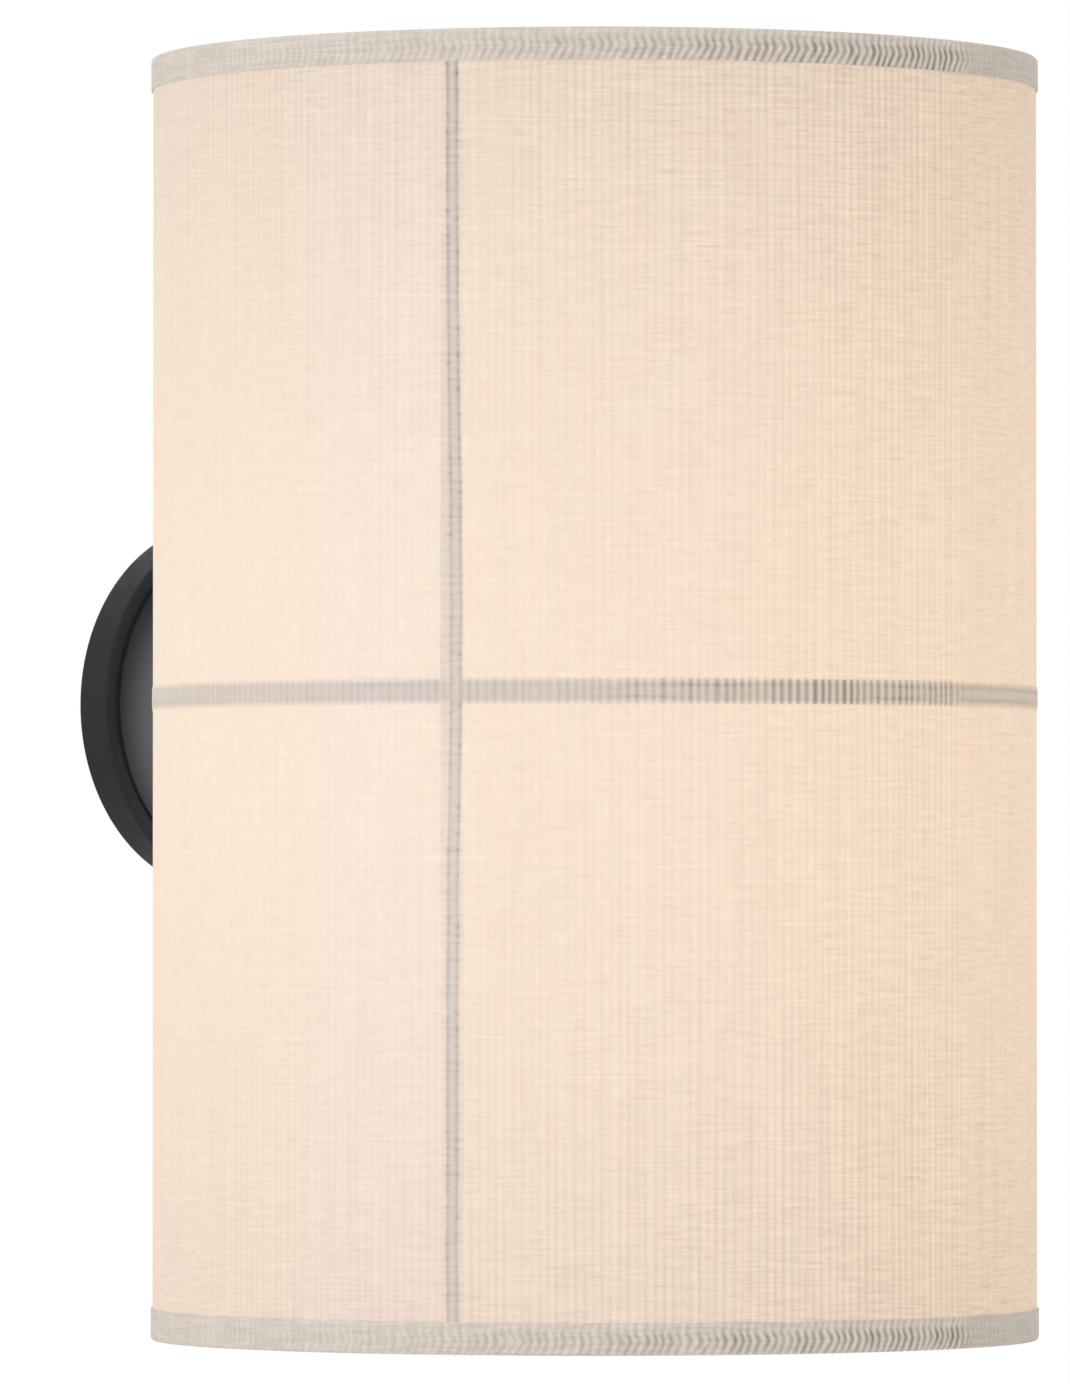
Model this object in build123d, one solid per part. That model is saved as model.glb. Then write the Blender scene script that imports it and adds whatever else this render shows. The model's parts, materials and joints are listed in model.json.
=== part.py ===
from build123d import *

import math
import os

# A wall light with a full drum shade of linen. Millimetres, +Z up.
# The origin is the centre of the wall plate on the wall's face (Y = 0), and the room is at -Y.

# ---- driving dimensions -------------------------------------------------------------------------

# the shade
BARE_ARM = 14.0             # arm in view between the wall plate's collar and the shade
SHADE_RADIUS = 139.5        # outside of the linen
SHADE_HEIGHT = 404.0        # over both rim trims
LINEN_THICKNESS = 0.5
LINER_THICKNESS = 1.0
TRIM_WIDTH = 10.0           # how far the rim tape comes down outside
TRIM_INNER_WIDTH = 8.0      # and inside
TRIM_THICKNESS = 0.6
TRIM_EDGE = 1.0             # rounding of the tape over the rim
SEAM_ANGLES = {"left": -60.0, "right": 60.0, "back": 180.0}     # degrees round from the front
SEAM_WIDTH = 6.5
WAIST_WIDTH = 7.6
SEAM_THICKNESS = 0.3
WIRE_RADIUS = 1.5           # shade rings and spokes

# the spider that hangs the shade, and its finial
SPIDER_DROP = 26.0          # top of the shade down to the spokes' centre line
SPOKE_BEND = 9.0
SPIDER_WASHER_RADIUS = 11.0
SPIDER_WASHER_THICKNESS = 3.2
STUD_RADIUS = 3.175         # quarter inch finial thread
STUD_LENGTH = 9.0           # thread that stands above the finial's washer
FINIAL_WASHER_RADIUS = 8.5
FINIAL_WASHER_THICKNESS = 1.0
FINIAL_BASE_RADIUS = 8.0
FINIAL_BASE_HEIGHT = 4.0
FINIAL_NECK_RADIUS = 5.6
FINIAL_NECK_HEIGHT = 3.0
FINIAL_BALL_RADIUS = 7.0
FINIAL_BALL_SINK = 2.1      # how far the ball sinks into its neck
FINIAL_EDGE = 0.8
FINIAL_THREAD_GAP = 0.1
FINIAL_HOLE_SPARE = 1.0     # hole left over the stud's end

# the wall plate and what fixes it
CANOPY_RADIUS = 60.0
CANOPY_RIM_DEPTH = 13.0     # straight side wall, out from the wall
CANOPY_LEDGE = 4.7          # flat ring inside the rim
CANOPY_STEP = 1.5           # riser inside the ledge
CANOPY_DOME = 7.0           # rise of the dome over the riser
CANOPY_THICKNESS = 1.2
CANOPY_EDGE = 1.0           # rounding where the side wall meets the ledge
CANOPY_EDGE_INSIDE = 0.25
COLLAR_RADIUS = 16.0
COLLAR_LENGTH = 6.0
COLLAR_CHAMFER = 1.5
STRAP_LENGTH = 105.0
STRAP_WIDTH = 19.0
STRAP_THICKNESS = 2.0
STRAP_RISE = 7.0            # the middle of the strap stands off the wall
STRAP_FLAT = 46.0           # length of the raised middle
STRAP_JOG = 8.0             # length of each slope down to the wall
STRAP_CORNER = 4.75
BOX_SCREW_RADIUS = 2.5      # half the slot's width
BOX_SPACING_NEAR = 69.85    # the two screw spacings of a wall box, which the slots span
BOX_SPACING_FAR = 88.9
GROUND_SCREW_X = 17.0
GROUND_SCREW_RADIUS = 2.0
GROUND_HEAD_RADIUS = 4.0
GROUND_HEAD_HEIGHT = 2.6
GROUND_SCREW_BEHIND = 1.0   # screw end behind the strap
NUT_ACROSS = 14.0           # hex locknut for the pipe thread
NUT_THICKNESS = 3.2
LOCK_WASHER_RADIUS = 8.0
LOCK_WASHER_THICKNESS = 0.8
LOCK_WASHER_REACH = 1.2     # from the thread to the washer's ring
WASHER_TEETH = 10
WASHER_TOOTH_GAP = 0.2      # from the thread to a tooth
WASHER_TOOTH_LENGTH = 1.6
WASHER_TOOTH_WIDTH = 1.2

# pipe thread, arm, hub and stems
PIPE_RADIUS = 4.8           # outside of the pipe thread
PIPE_BORE = 3.2
NIPPLE_BEHIND = 2.0         # nipple left behind the strap
NIPPLE_IN_ARM = 10.0
PIPE_PROUD = 1.3            # thread left in view past a nut in the bar
NIPPLE_IN_HOLDER = 2.0      # thread that stands over a lampholder's floor
ARM_RADIUS = 6.5
STEM_RADIUS = 6.0
HUB_RADIUS = 13.0
HUB_HEIGHT = 32.0
HUB_EDGE = 1.5
HUB_BORE = 3.6              # way for the leads
HUB_THREAD_DEPTH = 10.0
HUB_ARM_SEAT = 11.2         # hub axis to the flat that the arm's shoulder meets
HUB_ARM_DEPTH = 5.2         # depth of the arm's thread behind that flat

# the bar that carries the two lampholders
HOLDER_SPACING = 96.0       # centre to centre
BAR_DROP = 98.0             # shade's middle height down to the top of the bar
BAR_WIDTH = 26.0
BAR_HEIGHT = 16.0
BAR_WALL = 2.0
COVER_THICKNESS = 1.5
COVER_SCREW_RADIUS = 1.5
COVER_SCREW_HEAD_RADIUS = 3.0
COVER_SCREW_HEAD_HEIGHT = 1.6
COVER_SCREW_LENGTH = 7.0    # above the cover
COVER_POST_RADIUS = 3.6
COVER_POST_HEIGHT = 9.0
COVER_HOLE_SPARE = 0.5      # hole left over a cover screw's end
DRIVER_SLOT = 0.8

# a lampholder
HOLDER_RADIUS = 17.5
HOLDER_HEIGHT = 46.0
HOLDER_WALL = 1.8
HOLDER_FLOOR = 1.8
HOLDER_EDGE = 0.8
CORE_CAVITY = 6.2           # room for the leads under the core
CORE_THICKNESS = 8.0
CORE_WALL = 2.6
SCREW_SHELL_BORE = 13.6
SCREW_SHELL_THICKNESS = 0.5
SCREW_SHELL_HEIGHT = 26.0
CONTACT_RADIUS = 3.2
CONTACT_HEIGHT = 1.4

# a bulb with the common screw cap
CAP_RADIUS = 13.0           # over the thread
CAP_ROOT_RADIUS = 12.3
CAP_THICKNESS = 0.9
CAP_HEIGHT = 19.0
CAP_PITCH = 3.629           # seven threads to the inch
CAP_TURNS = 4
EYELET_RADIUS = 4.5
EYELET_HEIGHT = 1.6
INSULATOR_RADIUS = 9.5
INSULATOR_HEIGHT = 3.4
GLASS_RADIUS = 30.0
GLASS_NECK_RADIUS = 13.2
GLASS_NECK_HEIGHT = 6.0
GLASS_THICKNESS = 1.0
GLASS_CENTRE = 78.0         # end contact up to the middle of the globe
DRIVER_RADIUS = 9.5
DRIVER_HEIGHT = 11.0
DRIVER_GAP = 1.0            # over the cap's floor
FILAMENT_RADIUS = 1.0
FILAMENT_LENGTH = 38.0
FILAMENT_CIRCLE = 9.0
FILAMENT_COUNT = 4

# the grommet where the arm passes through the shade's back
GROMMET_BORE = 8.0
GROMMET_WALL = 1.0
GROMMET_FLANGE = 13.0
GROMMET_THICKNESS = 1.0

# the leads
LEAD_RADIUS = 0.9
LEAD_OFFSET = 1.4           # each lead off the middle of the arm and stem
LEAD_BEND = 3.0
CONNECTOR_RADIUS = 5.0
CONNECTOR_TIP_RADIUS = 3.2
CONNECTOR_LENGTH = 20.0
CONNECTOR_BORE = 8.0        # depth of the hole for the lead
LEAD_IN_CONNECTOR = 6.0
CONNECTOR_CLEAR = 14.0      # strap's edge to a connector's mouth
CONNECTOR_BACK = 0.5        # a connector's middle behind the strap's front
MAIN_RISE = 3.6             # the long leads over the bar's cover
JUMPER_RISE = 6.4           # the short leads over the bar's cover
JUMPER_SIDE = 5.5           # and to each side of the bar's middle

# clearances
THREAD_GAP = 0.05           # between pieces screwed or fitted together
SEAT_GAP = 0.05             # between a bulb or finial and what it is screwed down on

# ---- places worked out from them ----------------------------------------------------------------

TOP = SHADE_HEIGHT / 2
LINER_OUTER = SHADE_RADIUS - LINEN_THICKNESS
LINER_INNER = LINER_OUTER - LINER_THICKNESS
SEAM_RADIUS = SHADE_RADIUS + SEAM_THICKNESS
LINEN_TOP = TOP - TRIM_THICKNESS
RING_RADIUS = LINER_INNER - WIRE_RADIUS
RING_HEIGHT = LINEN_TOP - WIRE_RADIUS
TRIM_INNER = RING_RADIUS - WIRE_RADIUS - TRIM_THICKNESS

SPIDER_Z = TOP - SPIDER_DROP
SPIDER_TOP = SPIDER_Z + SPIDER_WASHER_THICKNESS / 2
SPIDER_UNDERSIDE = SPIDER_Z - SPIDER_WASHER_THICKNESS / 2

STRAP_FRONT = -(STRAP_RISE + STRAP_THICKNESS)
NIPPLE_BACK = -STRAP_RISE + NIPPLE_BEHIND
CANOPY_FRONT = -(CANOPY_RIM_DEPTH + CANOPY_STEP + CANOPY_DOME)
ARM_BACK = CANOPY_FRONT - COLLAR_LENGTH
NIPPLE_FRONT = ARM_BACK - NIPPLE_IN_ARM
AXIS_Y = ARM_BACK - BARE_ARM - SHADE_RADIUS      # the shade's upright axis
ARM_FRONT = AXIS_Y + HUB_ARM_SEAT
HUB_TOP = HUB_HEIGHT / 2
HUB_THREAD_END = HUB_TOP - HUB_THREAD_DEPTH

BAR_TOP = -BAR_DROP
BAR_CEILING = BAR_TOP - BAR_WALL
BAR_BOTTOM = BAR_TOP - BAR_HEIGHT
STEM_END = BAR_CEILING - NUT_THICKNESS - PIPE_PROUD
HOLDER_XS = {"left": -HOLDER_SPACING / 2, "right": HOLDER_SPACING / 2}
FLOOR_TOP = BAR_TOP + HOLDER_FLOOR
CORE_UNDERSIDE = FLOOR_TOP + CORE_CAVITY
CORE_TOP = CORE_UNDERSIDE + CORE_THICKNESS
BULB_TIP = CORE_TOP + CONTACT_HEIGHT + SEAT_GAP


# ---- shapes used more than once -----------------------------------------------------------------

def upright(radius, low, high, bore=0.0, x=0.0, y=AXIS_Y):
    """A round bar or tube that stands between two heights."""
    shape = Cylinder(radius, high - low)
    if bore:
        shape -= Cylinder(bore, high - low)
    return Pos(x, y, (low + high) / 2) * shape


def level(radius, back, front, bore=0.0, x=0.0, z=0.0):
    """A round bar or tube that lies along Y, from its wall end to its room end."""
    shape = Cylinder(radius, back - front)
    if bore:
        shape -= Cylinder(bore, back - front)
    return Pos(x, (back + front) / 2, z) * Rot(90, 0, 0) * shape


def turned(*edges):
    """A solid of revolution about Z, from the closed line that its half section makes in XZ."""
    return revolve(make_face(edges), Axis.Z)


def half_section(*points):
    """The closed line through (radius, height) points."""
    return Polyline(*[(r, 0, h) for r, h in points], close=True)


def round_shade(shape):
    """Moves a shape made about Z onto the shade's axis."""
    return Pos(0, AXIS_Y, 0) * shape


def compass(angle):
    """Turns degrees round from the front into degrees round from +X."""
    return angle - 90


def shade_band(inner, outer, low, high, middle=0.0, sweep=360.0):
    """A curved strip of the shade, with its middle at so many degrees round from the front."""
    face = make_face(half_section((inner, low), (outer, low), (outer, high), (inner, high)))
    strip = revolve(face, Axis.Z, sweep)
    return round_shade(Rot(0, 0, compass(middle) - sweep / 2) * strip)


def wire(points, bends, radius):
    """A round wire along straight runs with rounded corners."""
    path = FilletPolyline(*points, radius=bends)
    start = Plane(origin=path @ 0, z_dir=path % 0)
    return sweep(start * Circle(radius), path=path)


def hex_nut(bore, thickness):
    """A hexagon locknut about Z, from height 0 up."""
    nut = extrude(RegularPolygon(NUT_ACROSS / 2, 6, major_radius=False), thickness)
    return nut - Pos(0, 0, thickness / 2) * Cylinder(bore, thickness)


def save(node, shape):
    """Writes one piece, or one group of like pieces, to its own file."""
    solids = shape.solids()
    whole = solids[0] if len(solids) == 1 else Compound(children=list(solids))
    export_step(whole, f"parts/{node}.step")


# ---- the wall plate and what fixes it -----------------------------------------------------------

def wall_bracket():
    """A crossbar strap with flat ends on the wall, a raised middle and a slot at each end."""
    end, flat, foot = STRAP_LENGTH / 2, STRAP_FLAT / 2, STRAP_FLAT / 2 + STRAP_JOG
    back = [(-end, 0), (-foot, 0), (-flat, -STRAP_RISE), (flat, -STRAP_RISE), (foot, 0), (end, 0)]
    front = [(x, y - STRAP_THICKNESS) for x, y in reversed(back)]
    strap = extrude(make_face(Polyline(*back, *front, close=True)), STRAP_WIDTH / 2, both=True)
    slot_middle = (BOX_SPACING_NEAR + BOX_SPACING_FAR) / 4
    slot_length = (BOX_SPACING_FAR - BOX_SPACING_NEAR) / 2 + 2 * BOX_SCREW_RADIUS
    slot = Rot(90, 0, 0) * extrude(SlotOverall(slot_length, 2 * BOX_SCREW_RADIUS), end, both=True)
    for side in (-1, 1):
        strap -= Pos(side * slot_middle, 0, 0) * slot
    strap -= level(PIPE_RADIUS + THREAD_GAP, 0, 2 * STRAP_FRONT)
    strap -= level(GROUND_SCREW_RADIUS + THREAD_GAP, 0, 2 * STRAP_FRONT, x=GROUND_SCREW_X)
    corners = strap.edges().filter_by(Axis.Y).filter_by(lambda e: abs(e.center().X) > end - 0.1)
    return fillet(corners, STRAP_CORNER)


def ground_screw():
    """A washer-head screw in the strap, with a driver slot."""
    head = level(GROUND_HEAD_RADIUS, STRAP_FRONT, STRAP_FRONT - GROUND_HEAD_HEIGHT, x=GROUND_SCREW_X)
    end = -STRAP_RISE + GROUND_SCREW_BEHIND
    shank = level(GROUND_SCREW_RADIUS, end, STRAP_FRONT, x=GROUND_SCREW_X)
    slot = Box(2 * GROUND_HEAD_RADIUS, GROUND_HEAD_HEIGHT, DRIVER_SLOT)
    return head + shank - Pos(GROUND_SCREW_X, STRAP_FRONT - GROUND_HEAD_HEIGHT, 0) * slot


def nipple():
    return level(PIPE_RADIUS, NIPPLE_BACK, NIPPLE_FRONT, bore=PIPE_BORE)


def nipple_washer():
    """A star washer: a thin ring with teeth round its bore."""
    front = STRAP_FRONT - LOCK_WASHER_THICKNESS
    ring = level(LOCK_WASHER_RADIUS, STRAP_FRONT, front, bore=PIPE_RADIUS + LOCK_WASHER_REACH)
    tooth = Box(WASHER_TOOTH_WIDTH, LOCK_WASHER_THICKNESS, WASHER_TOOTH_LENGTH)
    out = PIPE_RADIUS + WASHER_TOOTH_GAP + WASHER_TOOTH_LENGTH / 2
    middle = (STRAP_FRONT + front) / 2
    for n in range(WASHER_TEETH):
        ring += Pos(0, middle, 0) * Rot(0, n * 360 / WASHER_TEETH, 0) * Pos(0, 0, out) * tooth
    return ring


def nipple_nut():
    seat = STRAP_FRONT - LOCK_WASHER_THICKNESS
    return Pos(0, seat, 0) * Rot(90, 0, 0) * hex_nut(PIPE_RADIUS + THREAD_GAP, NUT_THICKNESS)


def bulge(start, end, sagitta):
    """The arc between two (radius, height) points that stands proud of its chord, outwards."""
    (r0, h0), (r1, h1) = start, end
    chord = math.hypot(r1 - r0, h1 - h0)
    out = ((h1 - h0) / chord, (r0 - r1) / chord)
    middle = ((r0 + r1) / 2 + out[0] * sagitta, (h0 + h1) / 2 + out[1] * sagitta)
    return ThreePointArc((r0, 0, h0), (middle[0], 0, middle[1]), (r1, 0, h1))


def canopy_body(inset):
    """The plate's outside, or, inset by its thickness, its hollow."""
    rim = CANOPY_RADIUS - inset
    ledge = CANOPY_RADIUS - CANOPY_LEDGE - inset
    depth = CANOPY_RIM_DEPTH - inset
    riser = depth + CANOPY_STEP
    crown = riser + CANOPY_DOME
    seat = COLLAR_RADIUS
    run = ledge - seat
    dome_radius = (run ** 2 + CANOPY_DOME ** 2) / (2 * CANOPY_DOME)
    sagitta = dome_radius * (1 - math.cos(math.asin(run / dome_radius) / 2))
    body = turned(
        Polyline((seat, 0, crown), (0, 0, crown), (0, 0, 0), (rim, 0, 0), (rim, 0, depth),
                 (ledge, 0, depth), (ledge, 0, riser)),
        bulge((ledge, riser), (seat, crown), -sagitta),
    )
    edge = body.edges().filter_by(GeomType.CIRCLE).filter_by(
        lambda e: abs(e.radius - rim) < 0.01 and e.center().Z > 0.1)
    return fillet(edge, CANOPY_EDGE_INSIDE if inset else CANOPY_EDGE)


def canopy():
    """A spun plate: straight side wall, flat ledge, low riser and a shallow dome round a flat seat."""
    plate = canopy_body(0) - canopy_body(CANOPY_THICKNESS)
    plate -= Cylinder(PIPE_RADIUS + THREAD_GAP, -2 * CANOPY_FRONT)
    return Rot(90, 0, 0) * plate


def canopy_collar():
    """The turned ring that screws on the nipple and draws the plate to the wall."""
    ring = level(COLLAR_RADIUS, CANOPY_FRONT, ARM_BACK, bore=PIPE_RADIUS + THREAD_GAP)
    ring = chamfer(ring.edges().filter_by(GeomType.CIRCLE).filter_by(
        lambda e: e.radius > COLLAR_RADIUS - 0.1).sort_by(Axis.Y)[0], COLLAR_CHAMFER)
    return ring


def wire_connector(side):
    """A twist-on cone for one lead, in the hollow of the wall plate."""
    mouth = CONNECTOR_MOUTH
    cone = turned(half_section(
        (0, mouth), (CONNECTOR_RADIUS, mouth), (CONNECTOR_TIP_RADIUS, mouth + CONNECTOR_LENGTH),
        (0, mouth + CONNECTOR_LENGTH),
    ))
    cone -= upright(LEAD_RADIUS + THREAD_GAP, mouth, mouth + CONNECTOR_BORE, y=0)
    flip = Rot(0, 0, 0) if side > 0 else Rot(180, 0, 0)
    return Pos(-side * LEAD_OFFSET, CONNECTOR_Y, 0) * flip * cone


# ---- arm, hub and stems -------------------------------------------------------------------------

def arm_tube():
    """The tube from the wall plate to the hub: a socket for the nipple, and a thread in front."""
    body = level(ARM_RADIUS, ARM_BACK, ARM_FRONT)
    body += level(PIPE_RADIUS, ARM_FRONT, ARM_FRONT - HUB_ARM_DEPTH)
    body -= level(PIPE_RADIUS + THREAD_GAP, ARM_BACK, NIPPLE_FRONT)
    return body - level(PIPE_BORE, ARM_BACK, ARM_FRONT - HUB_ARM_DEPTH)


def hub():
    """The turned block that the arm and both stems screw into, with a way through for the leads."""
    block = upright(HUB_RADIUS, -HUB_TOP, HUB_TOP)
    rims = block.edges().filter_by(GeomType.CIRCLE)
    block = fillet(rims, HUB_EDGE)
    for end in (-1, 1):
        low, high = sorted((end * HUB_THREAD_END, end * HUB_TOP))
        block -= upright(PIPE_RADIUS + THREAD_GAP, low, high)
    block -= upright(HUB_BORE, -HUB_THREAD_END, PIPE_BORE)
    block -= level(ARM_RADIUS + THREAD_GAP, AXIS_Y + HUB_RADIUS + HUB_EDGE, ARM_FRONT)
    block -= level(PIPE_RADIUS + THREAD_GAP, ARM_FRONT, ARM_FRONT - HUB_ARM_DEPTH)
    return block - level(HUB_BORE, ARM_FRONT - HUB_ARM_DEPTH, AXIS_Y - PIPE_BORE)


def upper_stem():
    """The rod up to the spider: pipe thread below, shoulder and finial stud above."""
    rod = upright(STEM_RADIUS, HUB_TOP, SPIDER_UNDERSIDE)
    rod += upright(PIPE_RADIUS, HUB_THREAD_END, HUB_TOP)
    stud_top = SPIDER_TOP + SEAT_GAP + FINIAL_WASHER_THICKNESS + STUD_LENGTH
    return rod + upright(STUD_RADIUS, SPIDER_UNDERSIDE, stud_top)


def lower_stem():
    """The tube down to the bar, with a thread at each end."""
    tube = upright(STEM_RADIUS, BAR_TOP, -HUB_TOP)
    tube += upright(PIPE_RADIUS, STEM_END, -HUB_THREAD_END)
    return tube - upright(PIPE_BORE, STEM_END, -HUB_THREAD_END)


# ---- the bar and its lampholders ----------------------------------------------------------------

def bar_outline(inset):
    return SlotOverall(HOLDER_SPACING + BAR_WIDTH - 2 * inset, BAR_WIDTH - 2 * inset)


def cover_screw_xs():
    """The two screw posts stand against the bar's round ends."""
    reach = (HOLDER_SPACING + BAR_WIDTH) / 2 - COVER_POST_RADIUS
    return [-reach, reach]


def socket_bar():
    """A cast bar, open below, with holes for the stem and both nipples and two screw posts."""
    bar = Pos(0, AXIS_Y, BAR_BOTTOM) * extrude(bar_outline(0), BAR_HEIGHT)
    bar -= Pos(0, AXIS_Y, BAR_BOTTOM) * extrude(bar_outline(BAR_WALL), BAR_HEIGHT - BAR_WALL)
    for x in (0, *HOLDER_XS.values()):
        bar -= upright(PIPE_RADIUS + THREAD_GAP, BAR_CEILING, BAR_TOP, x=x)
    for x in cover_screw_xs():
        bar += upright(COVER_POST_RADIUS, BAR_BOTTOM, BAR_BOTTOM + COVER_POST_HEIGHT, x=x)
        bore = COVER_SCREW_RADIUS + THREAD_GAP
        end = BAR_BOTTOM + COVER_SCREW_LENGTH + COVER_HOLE_SPARE
        bar -= upright(bore, BAR_BOTTOM, end, x=x)
    return bar


def bar_cover():
    """The plate that closes the bar from below."""
    low = BAR_BOTTOM - COVER_THICKNESS
    plate = Pos(0, AXIS_Y, low) * extrude(bar_outline(0), COVER_THICKNESS)
    for x in cover_screw_xs():
        plate -= upright(COVER_SCREW_RADIUS + THREAD_GAP, low, BAR_BOTTOM, x=x)
    return plate


def cover_screws():
    """Two pan-head screws up into the bar's posts."""
    low = BAR_BOTTOM - COVER_THICKNESS
    screws = []
    head_end = low - COVER_SCREW_HEAD_HEIGHT
    slot = Box(2 * COVER_SCREW_HEAD_RADIUS, DRIVER_SLOT, COVER_SCREW_HEAD_HEIGHT)
    for x in cover_screw_xs():
        head = upright(COVER_SCREW_HEAD_RADIUS, head_end, low, x=x)
        shank = upright(COVER_SCREW_RADIUS, low, BAR_BOTTOM + COVER_SCREW_LENGTH, x=x)
        screws.append(head - Pos(x, AXIS_Y, head_end) * slot + shank)
    return Compound(children=screws)


def stem_nut():
    nut = hex_nut(PIPE_RADIUS + THREAD_GAP, NUT_THICKNESS)
    return Pos(0, AXIS_Y, BAR_CEILING - NUT_THICKNESS) * nut


def at_both_holders(shape):
    """One copy of a shape, made about Z, on each lampholder's axis."""
    return Compound(children=[Pos(x, AXIS_Y, 0) * shape for x in HOLDER_XS.values()])


def socket_nipples():
    """The short pipe threads that hold the lampholders on the bar."""
    return at_both_holders(upright(PIPE_RADIUS, STEM_END, FLOOR_TOP + NIPPLE_IN_HOLDER, bore=PIPE_BORE, y=0))


def socket_nuts():
    nut = hex_nut(PIPE_RADIUS + THREAD_GAP, NUT_THICKNESS)
    return at_both_holders(Pos(0, 0, BAR_CEILING - NUT_THICKNESS) * nut)


def holder_shell(x):
    """The outer cup of a lampholder, with a hole in its floor for the nipple."""
    top = BAR_TOP + HOLDER_HEIGHT
    cup = upright(HOLDER_RADIUS, BAR_TOP, top, x=x)
    cup -= upright(HOLDER_RADIUS - HOLDER_WALL, FLOOR_TOP, top, x=x)
    cup -= upright(PIPE_RADIUS + THREAD_GAP, BAR_TOP, FLOOR_TOP, x=x)
    rim = cup.edges().filter_by(GeomType.CIRCLE).filter_by(
        lambda e: e.radius > HOLDER_RADIUS - 0.1)
    return fillet(rim, HOLDER_EDGE)


def holder_cores():
    """The insulating cores: a skirt on the cup's floor and a thick top for the contacts."""
    radius = HOLDER_RADIUS - HOLDER_WALL - THREAD_GAP
    core = upright(radius, FLOOR_TOP, CORE_TOP, y=0)
    return at_both_holders(core - upright(radius - CORE_WALL, FLOOR_TOP, CORE_UNDERSIDE, y=0))


def screw_shells():
    outer = SCREW_SHELL_BORE + SCREW_SHELL_THICKNESS
    sleeve = upright(outer, CORE_TOP, CORE_TOP + SCREW_SHELL_HEIGHT, bore=SCREW_SHELL_BORE, y=0)
    return at_both_holders(sleeve)


def centre_contacts():
    return at_both_holders(upright(CONTACT_RADIUS, CORE_TOP, CORE_TOP + CONTACT_HEIGHT, y=0))


# ---- a bulb, made about Z with its end contact at height 0 --------------------------------------

CAP_BASE = EYELET_HEIGHT + INSULATOR_HEIGHT
CAP_TOP = CAP_BASE + CAP_HEIGHT


def bulb_contact():
    return upright(EYELET_RADIUS, 0, EYELET_HEIGHT, y=0)


def bulb_insulator():
    """The black glass cone between the end contact and the cap."""
    return turned(half_section(
        (0, EYELET_HEIGHT), (EYELET_RADIUS, EYELET_HEIGHT), (INSULATOR_RADIUS, CAP_BASE), (0, CAP_BASE),
    ))


def bulb_cap():
    """The threaded cap: a thin cup with one raised ring for each turn of the thread."""
    cup = upright(CAP_ROOT_RADIUS, CAP_BASE, CAP_TOP, y=0)
    inner = CAP_ROOT_RADIUS - CAP_THICKNESS
    cup -= upright(inner, CAP_BASE + CAP_THICKNESS, CAP_TOP, y=0)
    first = CAP_BASE + CAP_PITCH
    for turn in range(CAP_TURNS):
        ring = Torus(CAP_ROOT_RADIUS, CAP_RADIUS - CAP_ROOT_RADIUS)
        cup += Pos(0, 0, first + turn * CAP_PITCH) * ring
    return cup


def bulb_glass():
    """The frosted globe: a straight neck that swells into a ball, open below."""
    def solid(inset):
        neck, ball = GLASS_NECK_RADIUS - inset, GLASS_RADIUS - inset
        foot, swell = CAP_TOP, CAP_TOP + GLASS_NECK_HEIGHT
        flare = Spline(
            (neck, 0, swell), (ball, 0, GLASS_CENTRE), tangents=[(0, 0, 1), (0, 0, 1)]
        )
        round_top = ThreePointArc(
            (ball, 0, GLASS_CENTRE),
            (ball * math.sqrt(0.5), 0, GLASS_CENTRE + ball * math.sqrt(0.5)),
            (0, 0, GLASS_CENTRE + ball),
        )
        return turned(
            Line((0, 0, foot), (neck, 0, foot)), Line((neck, 0, foot), (neck, 0, swell)),
            flare, round_top, Line((0, 0, GLASS_CENTRE + ball), (0, 0, foot)),
        )

    return solid(0) - solid(GLASS_THICKNESS)


def bulb_filaments():
    """The lit rods, which stand in a ring round the bulb's axis."""
    low = GLASS_CENTRE - FILAMENT_LENGTH / 2
    rods = []
    for n in range(FILAMENT_COUNT):
        turn = Rot(0, 0, n * 360 / FILAMENT_COUNT)
        rod = turn * upright(FILAMENT_RADIUS, low, low + FILAMENT_LENGTH, x=FILAMENT_CIRCLE, y=0)
        rods.append(rod)
    return Compound(children=rods)


def bulb_driver():
    """The round driver board and its potting, in the cap."""
    low = CAP_BASE + CAP_THICKNESS + DRIVER_GAP
    return upright(DRIVER_RADIUS, low, low + DRIVER_HEIGHT, y=0)


# ---- the leads ----------------------------------------------------------------------------------

CONNECTOR_Y = STRAP_FRONT + CONNECTOR_BACK
CONNECTOR_MOUTH = STRAP_WIDTH / 2 + CONNECTOR_CLEAR
MAIN_LEVEL = BAR_BOTTOM + MAIN_RISE
JUMPER_LEVEL = BAR_BOTTOM + JUMPER_RISE


def main_lead(side):
    """One lead from its connector behind the wall plate, down the arm and stem, to a lampholder."""
    x, behind = -side * LEAD_OFFSET, -STRAP_RISE / 2 + 0.8
    clear = STRAP_WIDTH / 2 + 4.5
    holder = -side * (HOLDER_SPACING / 2 + 1.6)
    points = [
        (x, CONNECTOR_Y, side * (CONNECTOR_MOUTH + LEAD_IN_CONNECTOR)),
        (x, CONNECTOR_Y, side * (clear + 5)),
        (x, behind, side * clear),
        (x, behind, 0),
        (x, AXIS_Y, 0),
        (x, AXIS_Y, MAIN_LEVEL),
        (holder, AXIS_Y, MAIN_LEVEL),
        (holder, AXIS_Y, CORE_UNDERSIDE),
    ]
    bends = [LEAD_BEND, LEAD_BEND, 2.2, LEAD_BEND, LEAD_BEND, LEAD_BEND]
    return wire(points, bends, LEAD_RADIUS)


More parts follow.
